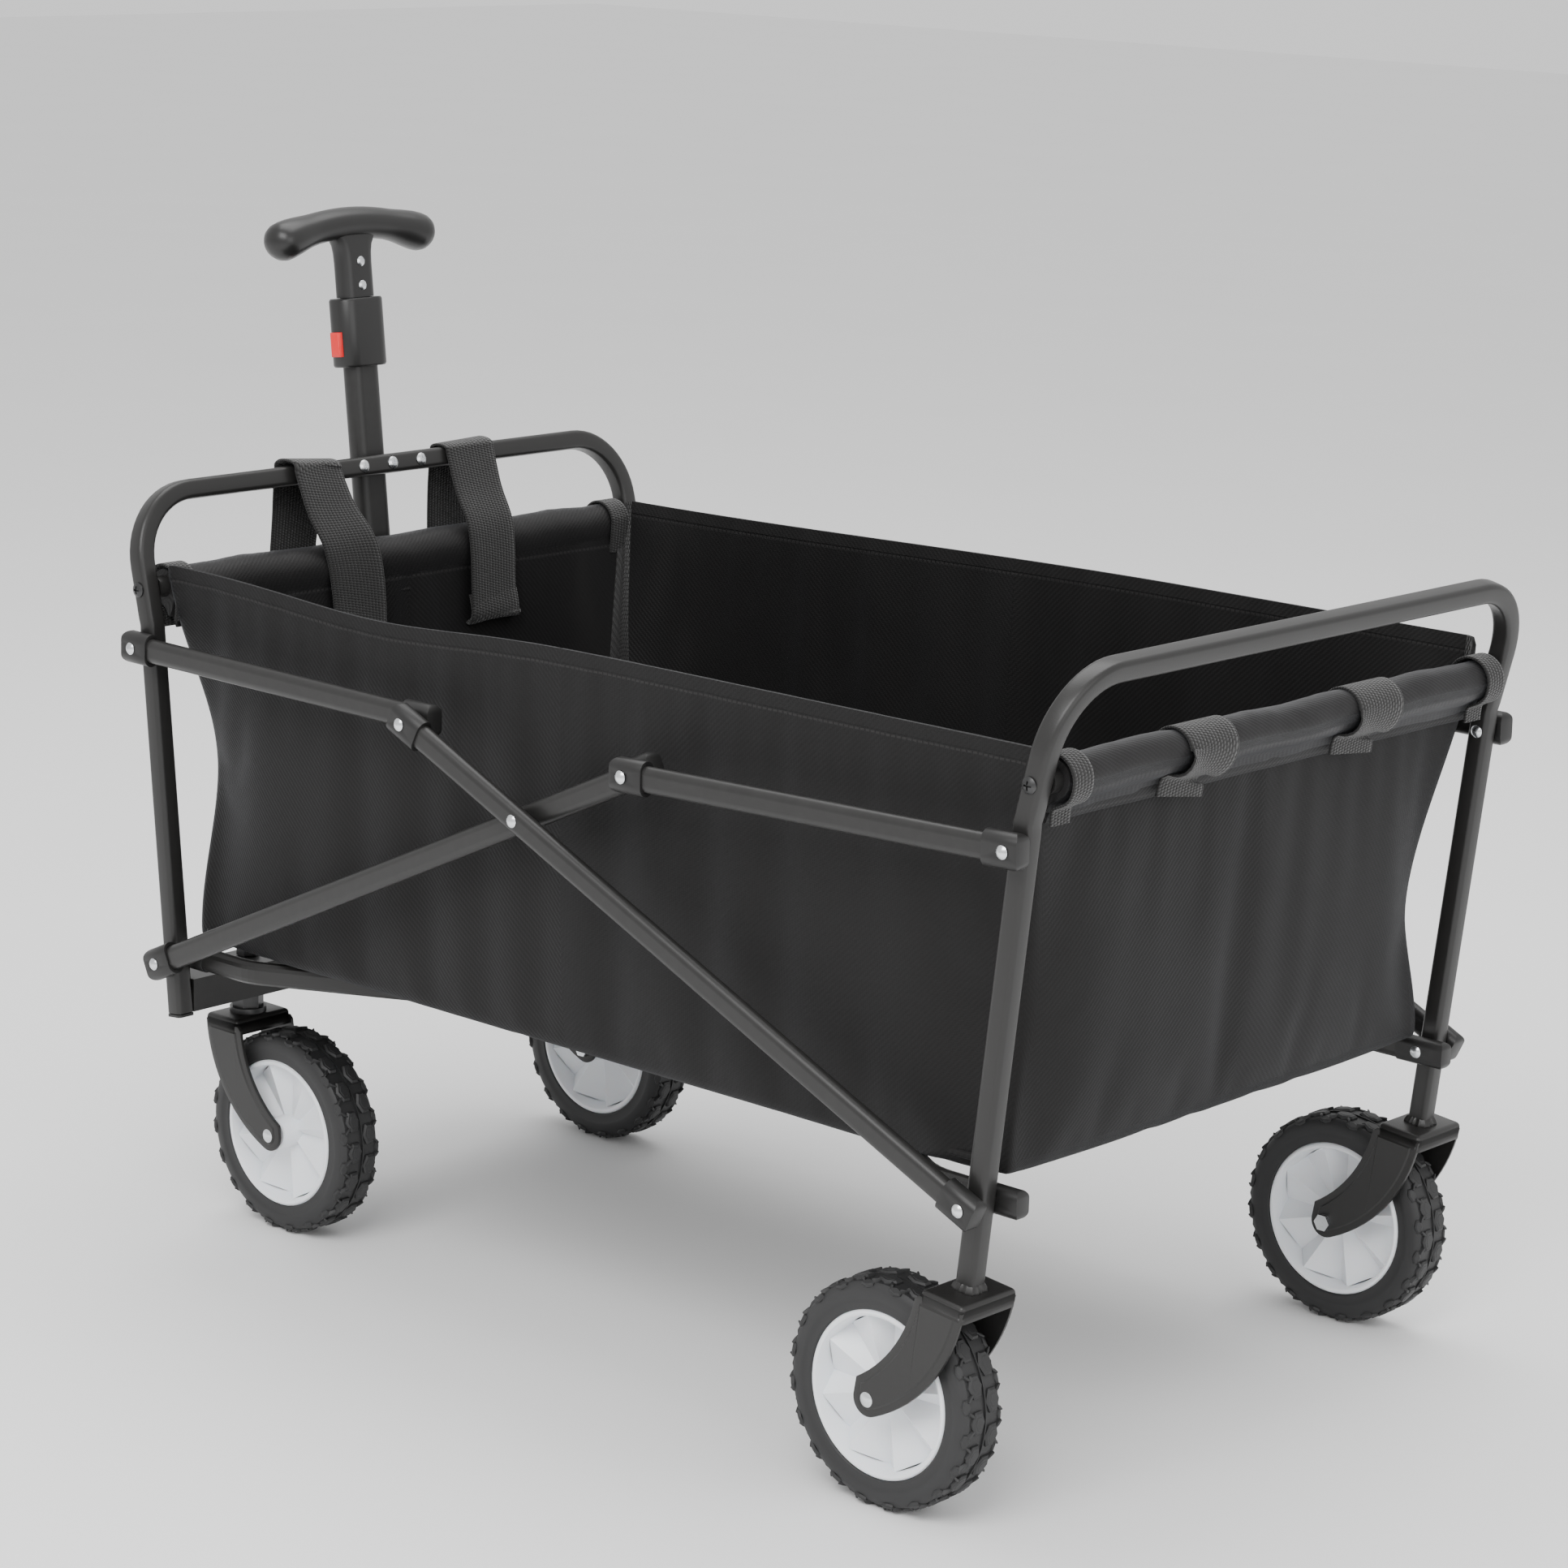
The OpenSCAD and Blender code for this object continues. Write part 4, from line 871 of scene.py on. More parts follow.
def make_rim(name, body, centre, stands_for):
    """A white rim: a rounded lip, sloping blades set round a hub like a pinwheel, and a hub boss."""
    w = sizes("wheels")
    lip_y = w.width / 2 - 0.0006
    rim = w.rim_radius
    lip = [(0.0, rim), (lip_y - 0.0012, rim), (lip_y, rim - 0.0010), (lip_y + 0.0004, rim - 0.0022),
           (lip_y - 0.0002, rim - 0.0036), (lip_y - 0.0030, rim - 0.0050),
           (lip_y - 0.0100, rim - 0.0058), (0.0, rim - 0.0062)]
    bm = bmesh.new()
    spun(bm, lip[:-1] + [(-y, r) for y, r in reversed(lip[1:-1])], 96)
    pitch = 2 * math.pi / w.blades
    inner, outer = 0.0120, rim - 0.0050
    rows = [(0.0, 0.0030, 0.0010), (0.66, 0.0075, 0.0135), (1.0, 0.0030, 0.0010)]
    blades = bmesh.new()
    for side in (-1, 1):
        for i in range(w.blades):
            turned = [((i + share) * pitch, near, far) for share, near, far in rows]
            loops = [[blades.verts.new((r * math.sin(angle), side * y, r * math.cos(angle)))
                      for y, r in ((near, inner), (far, outer))] for angle, near, far in turned]
            for a, b in zip(loops, loops[1:]):
                blades.faces.new((a[0], a[1], b[1], b[0]))
    bmesh.ops.remove_doubles(blades, verts=blades.verts, dist=1e-6)
    joined(bm, blades)
    hub = bmesh.new()
    boss = [(0.0, 0.0060), (0.0205, 0.0060), (0.0205, 0.0100), (0.0195, 0.0112), (0.0130, 0.0124),
            (0.0, 0.0128)]
    spun(hub, boss + [(-y, r) for y, r in reversed(boss[1:-1])], 48)
    joined(bm, hub)
    bmesh.ops.translate(bm, vec=centre, verts=bm.verts)
    return to_piece(bm, name, "rim", body, [stands_for], sharp=24.0)


def make_wheels():
    leg_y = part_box("rear_frame_tube")[1].y - sizes("frame").tube / 2
    for end in ("front", "rear"):
        for side, word in ((-1, "left"), (1, "right")):
            key = f"{end}_{word}"
            centre = pivot("wheel_spin_" + key)
            if end == "rear":
                centre = Vector((centre.x, side * leg_y, centre.z))
            make_tyre("tread_tyre_" + key, "wheel_" + key, centre, "tyre_" + key)
            make_rim("bladed_rim_" + key, "wheel_" + key, centre, "rim_" + key)


# ---------------------------------------------------------------- handle

def handle_place():
    """The handle's own axes: the hinge at the origin and the tube along Z."""
    hinge, up = pivot("handle_tilt"), Vector(JOINTS["handle_extend"]["axis"]).normalized()
    return Matrix.Translation((hinge.x, 0, hinge.z)) @ Matrix.Rotation(math.atan2(up.x, up.z), 4, "Y")


def make_grip():
    """An arched T grip on a flat stem: round in section, fuller at its two ends."""
    hand = handle_place()
    centre_up, sag, reach = 0.525, 0.010, 0.0670
    middle_radius, swelling = 0.0130, 0.0030
    points, radii = [], []
    steps = 18
    for i in range(steps + 1):
        t = -1 + 2 * i / steps
        fuller = max(0.0, abs(t) - 0.55) / 0.45
        points.append(Vector((0, t * reach, centre_up - sag * t * t)))
        radii.append(middle_radius + swelling * smooth_share(fuller))
    tips = [(0.0050, 0.0157), (0.0092, 0.0140), (0.0126, 0.0108), (0.0148, 0.0068), (0.0157, 0.0025)]
    slope = Vector((0, reach, -2 * sag)).normalized()
    first, last = points[0].copy(), points[-1].copy()
    for out, radius in tips:
        points.append(last + slope * out)
        radii.append(radius)
        points.insert(0, first + Vector((0, -slope.y, slope.z)) * out)
        radii.insert(0, radius)
    bm = bmesh.new()
    places = stations_along(points, side=Vector((1, 0, 0)))[0]
    sweep(bm, ring(bm, 1.0, 28), [place @ Matrix.Diagonal((0.94 * r, r, 1.0, 1.0))
                                  for place, r in zip(places, radii)])
    close_holes(bm)
    stem = bmesh.new()
    stem_t, stem_w, stem_edge, stem_low = 0.0190, 0.0310, 0.0080, 0.4675
    outer = rounded_square(stem, stem_t, stem_edge, height=stem_w, segments=6)
    spread = [(stem_low, 1.0), (0.472, 1.0), (0.494, 1.0), (0.502, 1.04), (0.508, 1.14),
              (0.513, 1.34), (0.517, 1.6)]
    sweep(stem, outer, [Matrix.Translation((0, 0, z)) @ Matrix.Diagonal((0.6 + 0.4 / grow, grow, 1, 1))
                        for z, grow in spread])
    close_holes(stem)
    joined(bm, stem)
    face_out(bm)
    bmesh.ops.transform(bm, matrix=hand, verts=bm.verts)
    to_piece(bm, "moulded_grip", "grip", "handle_upper", ["handle_grip"], sharp=50.0)


def make_handle():
    make_grip()
    collar = bmesh.new()
    collar_t, collar_w, collar_edge, low, high = 0.0270, 0.0440, 0.0115, 0.4140, 0.4670
    loop = rounded_square(collar, collar_t, collar_edge, height=collar_w, segments=7)
    rims = [(low, 0.945), (low + 0.0005, 0.975), (low + 0.0018, 1.0), (high - 0.0018, 1.0),
            (high - 0.0005, 0.975), (high, 0.945)]
    sweep(collar, loop, [Matrix.Translation((0, 0, up)) @ Matrix.Diagonal((share, share, 1, 1))
                         for up, share in rims])
    sealed(collar)
    bmesh.ops.transform(collar, matrix=handle_place(), verts=collar.verts)
    to_piece(collar, "round_collar", "grip", "handle_lower", ["handle_collar"], sharp=50.0)
    softened("release_button", "release_button", "button", 0.0024, 4)
    softened("handle_clip", "front_frame", "nylon", 0.0008, 2)


# ---------------------------------------------------------------- fabric body

def rod_place():
    """Distance of the sleeve rods from the middle, and their height."""
    low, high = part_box("rear_sleeve_rod")
    return (low.x + high.x) / 2 - MIDDLE, (low.z + high.z) / 2


class BodyShape:
    """The slack fabric box before it settles: u, v and w run from the middle to each wall and up it."""

    def __init__(self):
        rod_x, rod_z = rod_place()
        self.floor_z = 0.2335
        self.low_x = leg_reach(self.floor_z) + 0.005
        self.top_x = rod_x - 0.008
        self.low_y, self.top_y = 0.2370, 0.2425
        self.end_top = rod_z - 0.007
        self.mid_top = 0.511
        self.drawn_x, self.drawn_y, self.draw_reach = 0.017, 0.028, 0.075

    def side_top(self, u, v):
        """Top edge of the sides: the near one dips, the far one rises to the rear."""
        if v < 0:
            return 0.514 - 0.009 * math.exp(-((u + 0.45) / 0.28) ** 2)
        return 0.512 + 0.010 * smooth_share((u + 1) / 1.4)

    def halves(self, height):
        """Half the box's length and half its width at a height from 0 to 1."""
        return (self.low_x + (self.top_x - self.low_x) * height,
                self.low_y + (self.top_y - self.low_y) * height)

    def place(self, u, v, w):
        top = self.side_top(u, v)
        if abs(v) < 0.9999 and abs(u) > 0.9999:
            top = self.end_top + (top - self.end_top) * smooth_share((abs(v) - 0.975) / 0.025)
        z = self.floor_z + w * (top - self.floor_z)
        height = (z - self.floor_z) / (self.mid_top - self.floor_z)
        half_x, half_y = self.halves(height)
        x, y = u * half_x, v * half_y
        to_corner = math.hypot((1 - abs(u)) * self.low_x, (1 - abs(v)) * self.low_y)
        peak = 0.52 if u < 0 else 0.40
        rise = height / peak if height < peak else (1 - height) / (1 - peak)
        drawn_in = (0.25 * (1 - height) + 0.75 * smooth_share(rise)) \
            * math.exp(-(to_corner / self.draw_reach) ** 2) * (1.0 if height < 0.995 else 0.0)
        x -= math.copysign(self.drawn_x * drawn_in, u)
        y -= math.copysign(self.drawn_y * drawn_in, v)
        sag = 0.0 if w > 1e-6 else 0.002 * (1 - u * u) * (1 - v * v)
        return Vector((MIDDLE + x, y, z - sag)), top


def body_cloth():
    """The open fabric box as one sheet of cells, with its cloth map and the group that is held."""
    shape = BodyShape()
    cell, loose_edge = 0.0092, 0.022
    bm = bmesh.new()
    bmesh.ops.create_cube(bm, size=2.0)
    top = max(bm.faces, key=lambda f: f.calc_center_median().z)
    bmesh.ops.delete(bm, geom=[top], context="FACES_ONLY")
    for axis, length in ((0, 2 * shape.low_x), (1, 2 * shape.low_y), (2, 0.28)):
        lines = [e for e in bm.edges
                 if abs((e.verts[0].co - e.verts[1].co).normalized()[axis]) > 0.99]
        cuts = 2 * round(length / cell / 2) - 1
        bmesh.ops.subdivide_edges(bm, edges=lines, cuts=cuts, use_grid_fill=True)
    run, drop = cloth_layers(bm)
    corner = bm.verts.layers.float.new("corner")
    hold = bm.verts.layers.float.new("hold")
    seat = {v: v.co.copy() for v in bm.verts}
    for v, at in seat.items():
        u, s, w = at.x, at.y, (at.z + 1) / 2
        v.co, top = shape.place(u, s, w)
        on_side = abs(u) < 0.9999
        v[run] = abs(u) * shape.low_x if on_side else shape.low_x + (1 - abs(s)) * shape.low_y
        v[drop] = top - v.co.z + (0 if w > 0.001 else (1 - abs(s)) * shape.low_y)
        away = min((1 - abs(u)) * shape.low_x + (1 if abs(s) < 0.9999 else 0),
                   (1 - abs(s)) * shape.low_y + (1 if on_side else 0))
        v[corner] = away if w > 0.001 else 1.0
        on_floor = w < 0.001 and abs(u) * shape.low_x < shape.low_x - loose_edge \
            and abs(s) * shape.low_y < shape.low_y - loose_edge
        v[hold] = 1.0 if on_floor or w > 0.999 else 0.0
    face_out(bm)
    for face in bm.faces:
        face.smooth = True
    cloth = add_object("body_cloth", mesh_from(bm, "body_cloth"))
    held = cloth.vertex_groups.new(name="held")
    values = [item.value for item in cloth.data.attributes["hold"].data]
    held.add([i for i, value in enumerate(values) if value > 0.5], 1.0, "REPLACE")
    return cloth, shape


def settle(cloth, frames, slack):
    """Lets the cloth settle under its own weight, and keeps it near where it was drawn."""
    scene = bpy.context.scene
    start = [v.co.copy() for v in cloth.data.vertices]
    hang = cloth.modifiers.new("Settle", "CLOTH")
    rules = hang.settings
    rules.quality = 6
    rules.mass = 0.22
    rules.air_damping = 2.0
    rules.tension_stiffness = 22.0
    rules.compression_stiffness = 10.0
    rules.shear_stiffness = 8.0
    rules.bending_stiffness = 1.6
    rules.tension_damping = 12.0
    rules.vertex_group_mass = "held"
    rules.shrink_min = -slack
    hang.collision_settings.use_collision = False
    hang.point_cache.frame_start = 1
    hang.point_cache.frame_end = frames
    scene.frame_start, scene.frame_end = 1, frames
    for step in range(1, frames + 1):
        scene.frame_set(step)
    result = cloth.evaluated_get(bpy.context.evaluated_depsgraph_get()).to_mesh()
    ended = [v.co.copy() for v in result.vertices]
    cloth.modifiers.remove(hang)
    scene.frame_set(1)
    reach = 0.016
    for v, before, after in zip(cloth.data.vertices, start, ended):
        move = after - before
        if move.length > 1e-9:
            v.co = before + move * min(1.0, reach / move.length)


def keep_clear(cloth, shape):
    """Holds the cloth inside the legs, and its middle seam in the middle."""
    leg_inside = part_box("rear_frame_tube")[1].y - sizes("frame").tube - 0.0016
    for v in cloth.data.vertices:
        beyond = abs(v.co.x - MIDDLE) / shape.low_x
        limit = leg_inside + 0.007 * smooth_share((0.93 - beyond) / 0.10)
        v.co.y = max(-limit, min(limit, v.co.y))
        v.co.z = max(v.co.z, shape.floor_z - 0.006)
        if abs(v.co.x - MIDDLE) < 0.004:
            v.co.x = MIDDLE


def smoothed_copy(cloth):
    """The mesh after one subdivision."""
    divide = cloth.modifiers.new("Smooth", "SUBSURF")
    divide.levels = divide.render_levels = 1
    result = bpy.data.meshes.new_from_object(
        cloth.evaluated_get(bpy.context.evaluated_depsgraph_get()),
        preserve_all_data_layers=True, depsgraph=bpy.context.evaluated_depsgraph_get())
    bpy.data.objects.remove(cloth)
    return result


def cut_from(mesh, end, keep, shift=0.0):
    """The faces of one end that keep(face, drop, corner) allows, moved along their normals."""
    bm = bmesh.new()
    bm.from_mesh(mesh)
    drop = bm.verts.layers.float["drop"]
    corner = bm.verts.layers.float["corner"]
    bm.normal_update()
    spare = [f for f in bm.faces
             if (f.calc_center_median().x - MIDDLE) * end <= 0 or not keep(f, drop, corner)]
    bmesh.ops.delete(bm, geom=spare, context="FACES")
    if shift:
        for v in bm.verts:
            v.co += v.normal * shift
    return bm


def cloth_piece(bm, name, finishes, fold, thickness, stands_for=()):
    """A sheet piece with a wall thickness; it rides on a body."""
    body, fold_axis, anchor = fold
    for face in bm.faces:
        face.smooth = True
    for edge in bm.edges:
        edge.smooth = not edge.is_boundary
    piece = add_object(name, mesh_from(bm, name))
    for finish in finishes:
        piece.data.materials.append(FINISH[finish])
    wall = piece.modifiers.new("Wall", "SOLIDIFY")
    wall.thickness = thickness
    wall.offset = -1.0
    wall.use_even_offset = False
    if len(finishes) > 1:
        wall.material_offset = 1
    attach(piece, body)
    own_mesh(piece)
    if stands_for:
        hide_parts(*stands_for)
    return piece


def make_body():
    f = sizes("fabric")
    tape_half = 0.0118
    cloth, shape = body_cloth()
    settle(cloth, f.frames, f.slack)
    keep_clear(cloth, shape)
    mesh = smoothed_copy(cloth)
    ends = ((-1, "front", "front_frame", pivot("front_rail_pivot")),
            (1, "rear", "rear_frame", pivot("rear_rail_pivot")))
    for end, word, body, anchor in ends:
        fold_axis = (math.cos(LEAN) * -end, 0, math.sin(LEAN))
        fold = (body, fold_axis, anchor)
        half = cut_from(mesh, end, lambda face, drop, corner: True)
        cloth_piece(half, f"cloth_body_{word}", ["cloth", "lining"], fold, f.wall, ["bag"])
        hem = cut_from(mesh, end, lambda face, drop, corner:
                       all(v[drop] < f.hem + 0.0012 for v in face.verts)
                       and abs(face.normal.y) > 0.5, 0.0005)
        cloth_piece(hem, f"top_hem_{word}", ["cloth"], fold, 0.0024)
        tape = cut_from(mesh, end, lambda face, drop, corner:
                        all(v[corner] < tape_half for v in face.verts), -0.0013)
        cloth_piece(tape, f"corner_tape_{word}", ["webbing"], fold, 0.0010)
    bpy.data.meshes.remove(mesh)


def rumple(bm, amount, scale, seed):
    """Small soft wrinkles along the normals."""
    bm.normal_update()
    for v in bm.verts:
        spot = v.co * scale + Vector((seed, seed * 2.0, 0))
        v.co += v.normal * amount * noise.noise(spot)


def sleeve_ring(bm, radius, end):
    """A sleeve's section: round over the rod, then straight down inside to the seam, tucked in outside."""
    over = [(math.cos(math.radians(a)), math.sin(math.radians(a))) for a in range(0, 181, 10)]
    below = [(-0.99, -0.32), (-0.90, -0.70), (-0.72, -1.25), (-0.56, -1.66), (-0.40, -1.62),
             (-0.18, -1.22), (0.22, -0.98), (0.66, -0.72), (0.92, -0.40)]
    made = [bm.verts.new((end * out * radius, -up * radius, 0)) for out, up in over + below]
    for a, b in zip(made, made[1:] + made[:1]):
        bm.edges.new((a, b))
    return made


def make_sleeves():
    """The sleeves round the rods, each with a stitched band below it where it is sewn to its end wall."""
    f = sizes("fabric")
    rod_x, rod_z = rod_place()
    half, end_ease, band_low, count = 0.2375, 0.012, 0.4655, 96
    for end, word in ((-1, "front"), (1, "rear")):
        x = MIDDLE + end * rod_x
        bm = bmesh.new()
        run_layer, drop_layer = cloth_layers(bm)
        loop = sleeve_ring(bm, f.sleeve / 2, end)
        for i, v in enumerate(loop):
            v[drop_layer] = 1.0 + f.sleeve * math.pi * i / len(loop)
        places, runs = [], []
        for i in range(count + 1):
            y = half * (2 * i / count - 1)
            near_end = max(0.0, abs(y) - half + end_ease) / end_ease
            full = 1.0 - 0.10 * near_end ** 2
            droop = -0.0006 * math.cos(y * 60)
            places.append(Matrix.Translation((x, y, rod_z + droop)) @ ALONG_Y
                          @ Matrix.Diagonal((full, full * 1.03, 1, 1)))
            runs.append(y + half)
        sweep(bm, loop, places, runs, run_layer)
        rumple(bm, 0.0010, 30.0, 3.0 + end)
        rumple(bm, 0.0004, 90.0, 8.0 + end)
        sealed(bm)
        to_piece(bm, f"{word}_sleeve", "sleeve", f"{word}_frame", (), sharp=60.0)
        top = Vector((x - end * 0.0030, 0, rod_z - 0.0110))
        bottom = Vector((MIDDLE + end * (leg_reach(0.466) - 0.0030), 0, band_low))
        band = bmesh.new()
        run_layer, drop_layer = cloth_layers(band)
        loop = rounded_square(band, 0.0026, 0.0011, height=(top - bottom).length, segments=2)
        for v in loop:
            v[drop_layer] = (top - bottom).length / 2 - v.co.y
        middle = (top + bottom) / 2
        rise, ahead = (top - bottom).normalized(), Vector((0, 1, 0))
        turn = Matrix((rise.cross(ahead), rise, ahead)).transposed().to_4x4()
        places, runs = [], []
        for i in range(count + 1):
            y = (half - 0.004) * (2 * i / count - 1)
            wave = 0.0004 * math.sin(y * 85 + end) + 0.0003 * math.sin(y * 37)
            places.append(Matrix.Translation(middle + Vector((end * wave, y, 0))) @ turn)
            runs.append(y + half)
        sweep(band, loop, places, runs, run_layer)
        sealed(band)
        to_piece(band, f"{word}_sewn_band", "band", f"{word}_frame", (), sharp=60.0)


def round_rod(end, radius, tail_in, tail_out, y, lean):
    """A webbing path over a sleeve: up from tail_in inside, over the top, and down to tail_out outside."""
    rod_x, rod_z = rod_place()
    x = MIDDLE + end * rod_x
    inside = [(0.002 - radius, 0.0, -tail_in)]
    over = [(radius * math.cos(a), 0.0, radius * math.sin(a))
            for a in (math.radians(180 - 22.5 * i) for i in range(9))]
    outside = [(radius - 0.0015, 0.2, -0.0080), (radius * 0.62, 0.5, -0.0140), (0.0012, 0.8, -0.0185),
               (-0.0006, 0.9, -0.0225), (-0.0012, 1.0, -tail_out)]
    return [Vector((x + end * out, y - lean * share, rod_z + up))
            for out, share, up in inside + over + outside]


def make_loops():
    """Webbing loops over the rear sleeve, and narrow gathers at both ends of each sleeve."""
    f = sizes("fabric")
    radius = f.sleeve / 2 + 0.0016
    for number, (y, lean) in enumerate(((-0.0935, 0.014), (0.0920, 0.010)), 1):
        path = smooth_path(round_rod(1, radius, 0.010, 0.031, y, lean), 3)
        ribbon(f"rear_loop_{number}", path, f.loop, 0.0018, "rear_frame")
    for end, word in ((-1, "front"), (1, "rear")):
        for side, hand in ((-1, "left"), (1, "right")):
            y = side * 0.2290
            path = smooth_path(round_rod(end, radius + 0.0008, 0.024, 0.030, y, 0.0), 3)
            ribbon(f"{word}_gather_{hand}", path, 0.0200, 0.0016, f"{word}_frame")


def make_straps():
    """Two lifting straps round the front bar: a tail outside, and a tail that drops inside the body."""
    f, s = sizes("fabric"), sizes("frame")
    bar_x = MIDDLE - leg_reach(s.bend_height) \
        - (s.bar_height - s.bend_height) * math.tan(LEAN + s.bar_lean)
    for side, hand, drift, length in ((-1, "left", 0.020, -0.1270), (1, "right", 0.004, -0.1180)):
        low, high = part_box("strap_" + hand)
        y = (low.y + high.y) / 2
        outline = [(-0.0040, -0.1150, -0.6), (-0.0105, -0.0700, -0.4), (-0.0125, -0.0300, -0.1),
                   (-0.0105, 0.0020, 0.0), (-0.0085, 0.0088, 0.0), (0.0, 0.0106, 0.0),
                   (0.0085, 0.0088, 0.0), (0.0110, 0.0020, 0.0), (0.0195, -0.0250, 0.25),
                   (0.0305, -0.0480, 0.6),
                   (0.0335, -0.0700, 0.9), (0.0342, -0.1000, 1.1), (0.0350, length, 1.2)]
        points = [Vector((bar_x + x, y + drift * shift * (1 if z < 0 else 0), s.bar_height + z))
                  for x, z, shift in outline]
        sway, turns = (0.10, 3 * math.pi) if side < 0 else (0.05, 5)
        ribbon(f"lifting_strap_{hand}", smooth_path(points, 4), f.strap, 0.0018, "front_frame",
               stands_for=["strap_" + hand], twists=lambda t: sway * math.sin(turns * t))
        tail = points[-1]
        fold = [tail + Vector(step) for step in (
            (-0.002, 0, 0.012), (0.001, 0, 0.0), (0.0005, 0, -0.007), (-0.003, 0.001, -0.0095),
            (-0.010, 0.002, -0.0105))]
        ribbon(f"strap_tab_{hand}", smooth_path(fold, 3), f.strap * 1.02, 0.0030, "front_frame")


def make_boards():
    """Two covered boards that lie in the floor."""
    for end, word in ((-1, "front"), (1, "rear")):
        name = word + "_floor_board"
        low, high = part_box(name)
        bm = bmesh.new()
        boxed(bm, low, high)
        upright = [e for e in bm.edges if abs((e.verts[0].co - e.verts[1].co).z) > 0.002]
        eased(bm, upright, 0.012, 6)
        eased(bm, crisp_edges(bm.edges, 40.0), 0.0018, 3)
        run_layer, drop_layer = cloth_layers(bm)
        for v in bm.verts:
            v[run_layer], v[drop_layer] = v.co.x, v.co.y + 10
        to_piece(bm, "covered_" + name, "board", "floor_" + word, [name], sharp=50.0)


# ---------------------------------------------------------------- carried-over pieces

CARRIED = {
    "steel": ["front_crossbar", "handle_bracket", "lower_diagonal_tubes", "upper_diagonal_tubes",
              "front_link_tubes", "rear_link_tubes", "front_rails", "rear_rails", "handle_shaft",
              "handle_tube", "front_sleeve_rod", "rear_sleeve_rod"],
    "nylon": ["front_leg_caps", "front_rod_plugs", "rear_rod_plugs"],
    "zinc": ["front_pivot_rivets", "rear_pivot_rivets", "cross_rivets", "upper_diagonal_rivets",
             "rear_link_rivets", "rail_joint_rivets", "rear_axles", "caster_axle_left",
             "caster_axle_right", "clip_screws", "grip_rivets", "handle_pivot_pin", "button_spring"],
    "dark_steel": ["front_rod_screws", "rear_rod_screws", "caster_stem_left", "caster_stem_right"],
}
CAPS = {
    "lower_diagonal_caps": "lower_diagonals", "upper_diagonal_caps": "upper_diagonals",
    "front_link_caps": "front_links", "rear_link_caps": "rear_links",
    "front_rail_caps": "floor_front", "rear_rail_caps": "floor_rear",
}


def finish_carried():
    for finish, names in CARRIED.items():
        for name in names:
            mesh = frame["nodes"][name].data
            mesh.materials.clear()
            mesh.materials.append(FINISH[finish])
    for name, body in CAPS.items():
        softened(name, body, "nylon", 0.0009, 2)


# ---------------------------------------------------------------- stage

def lamp(name, size, place, aim, power):
    light = bpy.data.lights.new(name, "AREA")
    light.shape = "RECTANGLE"
    light.size, light.size_y = size
    light.energy = power
    holder = add_object(name, light)
    holder.location = place
    holder.rotation_euler = (Vector(aim) - Vector(place)).to_track_quat("-Z", "Y").to_euler()


def make_stage():
    s = sizes("stage")
    bm = bmesh.new()
    bmesh.ops.create_grid(bm, x_segments=1, y_segments=1, size=14.0)
    floor = add_object("floor", mesh_from(bm, "floor"))
    material, tree, shader = new_material("Pale floor", Roughness=0.75)
    shade = node(tree, "TexNoise", Vector=node(tree, "TexCoord").outputs["Object"], Scale=3.0)
    tree.links.new(mixed(tree, shade.outputs["Fac"], (0.90, 0.90, 0.90), (0.93, 0.93, 0.93)),
                   shader.inputs["Base Color"])
    floor.data.materials.append(material)
    floor.location.z = -0.0005
    world = bpy.context.scene.world or bpy.data.worlds.new("Studio")
    bpy.context.scene.world = world
    world.use_nodes = True
    sky = world.node_tree.nodes["Background"]
    sky.inputs["Color"].default_value = (1.0, 1.0, 1.0, 1.0)
    sky.inputs["Strength"].default_value = 1.0
    lamp("key", (2.2, 1.6), (0.9, -2.3, 2.6), (0, 0, 0.35), 80)
    lamp("fill", (2.4, 2.0), (3.0, -0.6, 1.5), (0, 0, 0.35), 26)
    lamp("top", (2.6, 2.0), (-0.4, 0.6, 3.1), (0, 0, 0.3), 60)
    view = bpy.data.cameras.new("view")
    view.lens, view.sensor_width = s.lens, 36.0
    view.clip_end = 50.0
    camera = add_object("view", view)
    back = Vector((math.sin(s.azimuth) * math.cos(s.elevation),
                   -math.cos(s.azimuth) * math.cos(s.elevation), math.sin(s.elevation)))
    right = (-back).cross(Vector((0, 0, 1))).normalized()
    up = right.cross(-back)
    level = Matrix((right, up, back)).transposed().to_4x4()
    aim = Vector(s.target) + Vector((MIDDLE, 0, 0))
    camera.matrix_world = Matrix.Translation(aim + back * s.distance) @ level \
        @ Matrix.Rotation(s.roll, 4, "Z")
    bpy.context.scene.camera = camera


# ---------------------------------------------------------------- operators and panel

def make_frames():
    end_frame("front_bent_tube", -1, "front_frame_tube", "front_frame")
    end_frame("rear_bent_tube", 1, "rear_frame_tube", "rear_frame")


class Step:
    """What each step's button does"""
    makes = ()

    def execute(self, context):
        for make in self.makes:
            make()
        return {"FINISHED"}


class WAGON_OT_finishes(Step, bpy.types.Operator):
    """Makes the materials"""
    bl_idname = "wagon.finishes"
    bl_label = "Finishes"
    makes = (make_finishes,)


class WAGON_OT_frames(Step, bpy.types.Operator):
    """Builds the two bent end frames"""
    bl_idname = "wagon.frames"
    bl_label = "End frames"
    makes = (make_frames,)


class WAGON_OT_forks(Step, bpy.types.Operator):
    """Builds the pressed forks"""
    bl_idname = "wagon.forks"
    bl_label = "Forks"
    makes = (make_forks,)


class WAGON_OT_wheels(Step, bpy.types.Operator):
    """Builds the tyres and rims"""
    bl_idname = "wagon.wheels"
    bl_label = "Wheels"
    makes = (make_wheels,)


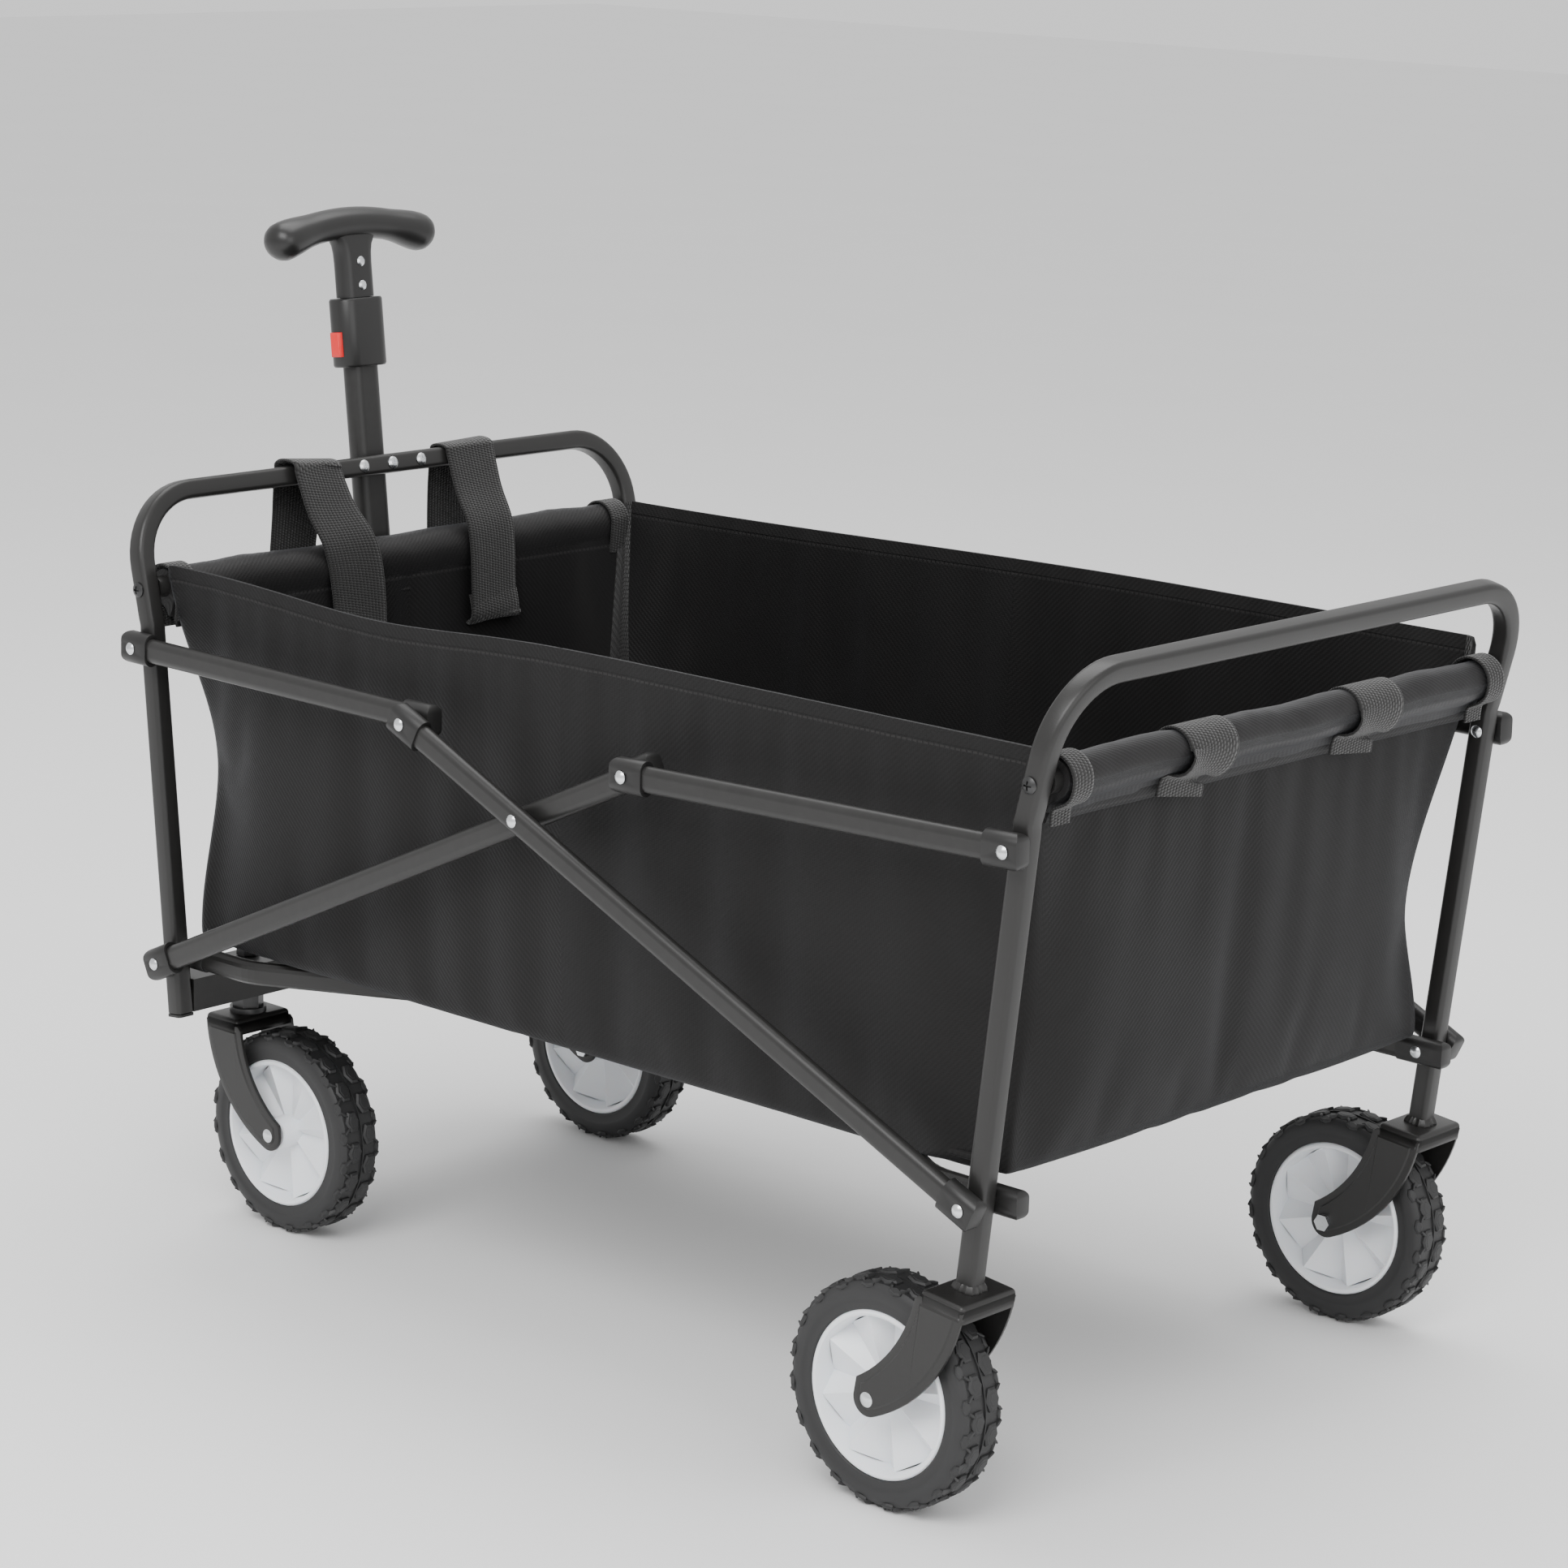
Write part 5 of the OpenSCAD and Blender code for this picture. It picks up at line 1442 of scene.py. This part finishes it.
class WAGON_OT_handle(Step, bpy.types.Operator):
    """Builds the grip and eases the handle's moulded pieces"""
    bl_idname = "wagon.handle"
    bl_label = "Handle"
    makes = (make_handle,)


class WAGON_OT_body(Step, bpy.types.Operator):
    """Sews and settles the fabric body"""
    bl_idname = "wagon.body"
    bl_label = "Fabric body"
    makes = (make_body,)


class WAGON_OT_sleeves(Step, bpy.types.Operator):
    """Makes the sleeves, loops and straps"""
    bl_idname = "wagon.sleeves"
    bl_label = "Sleeves and straps"
    makes = (make_sleeves, make_loops, make_straps)


class WAGON_OT_boards(Step, bpy.types.Operator):
    """Covers the floor boards"""
    bl_idname = "wagon.boards"
    bl_label = "Floor boards"
    makes = (make_boards,)


class WAGON_OT_carried(Step, bpy.types.Operator):
    """Finishes the steel tubes, rivets, screws and caps"""
    bl_idname = "wagon.carried"
    bl_label = "Tubes, caps and rivets"
    makes = (finish_carried,)


class WAGON_OT_stage(Step, bpy.types.Operator):
    """Sets the floor, the light and the camera"""
    bl_idname = "wagon.stage"
    bl_label = "Stage"
    makes = (make_stage,)


class WAGON_PT_panel(bpy.types.Panel):
    """Lists the wagon's pieces and sizes"""
    bl_idname = "WAGON_PT_panel"
    bl_label = "Wagon"
    bl_space_type = "VIEW_3D"
    bl_region_type = "UI"
    bl_category = "Wagon"

    def draw(self, context):
        for group in GROUPS:
            owner = getattr(context.scene, group)
            for key in owner.__annotations__:
                self.layout.prop(owner, key)
        for step in STEPS:
            self.layout.operator(step.bl_idname)


STEPS = (WAGON_OT_finishes, WAGON_OT_frames, WAGON_OT_forks, WAGON_OT_wheels, WAGON_OT_handle,
         WAGON_OT_body, WAGON_OT_sleeves, WAGON_OT_boards, WAGON_OT_carried, WAGON_OT_stage)
CLASSES = (*GROUPS.values(), *STEPS, WAGON_PT_panel)


def register():
    for one in CLASSES:
        bpy.utils.register_class(one)
    for name, group in GROUPS.items():
        setattr(bpy.types.Scene, name, PointerProperty(type=group))


def unregister():
    for name in GROUPS:
        delattr(bpy.types.Scene, name)
    for one in reversed(CLASSES):
        bpy.utils.unregister_class(one)


def main():
    register()
    for step in STEPS:
        group, action = step.bl_idname.split(".")
        getattr(getattr(bpy.ops, group), action)()


if __name__ == "__main__":
    main()
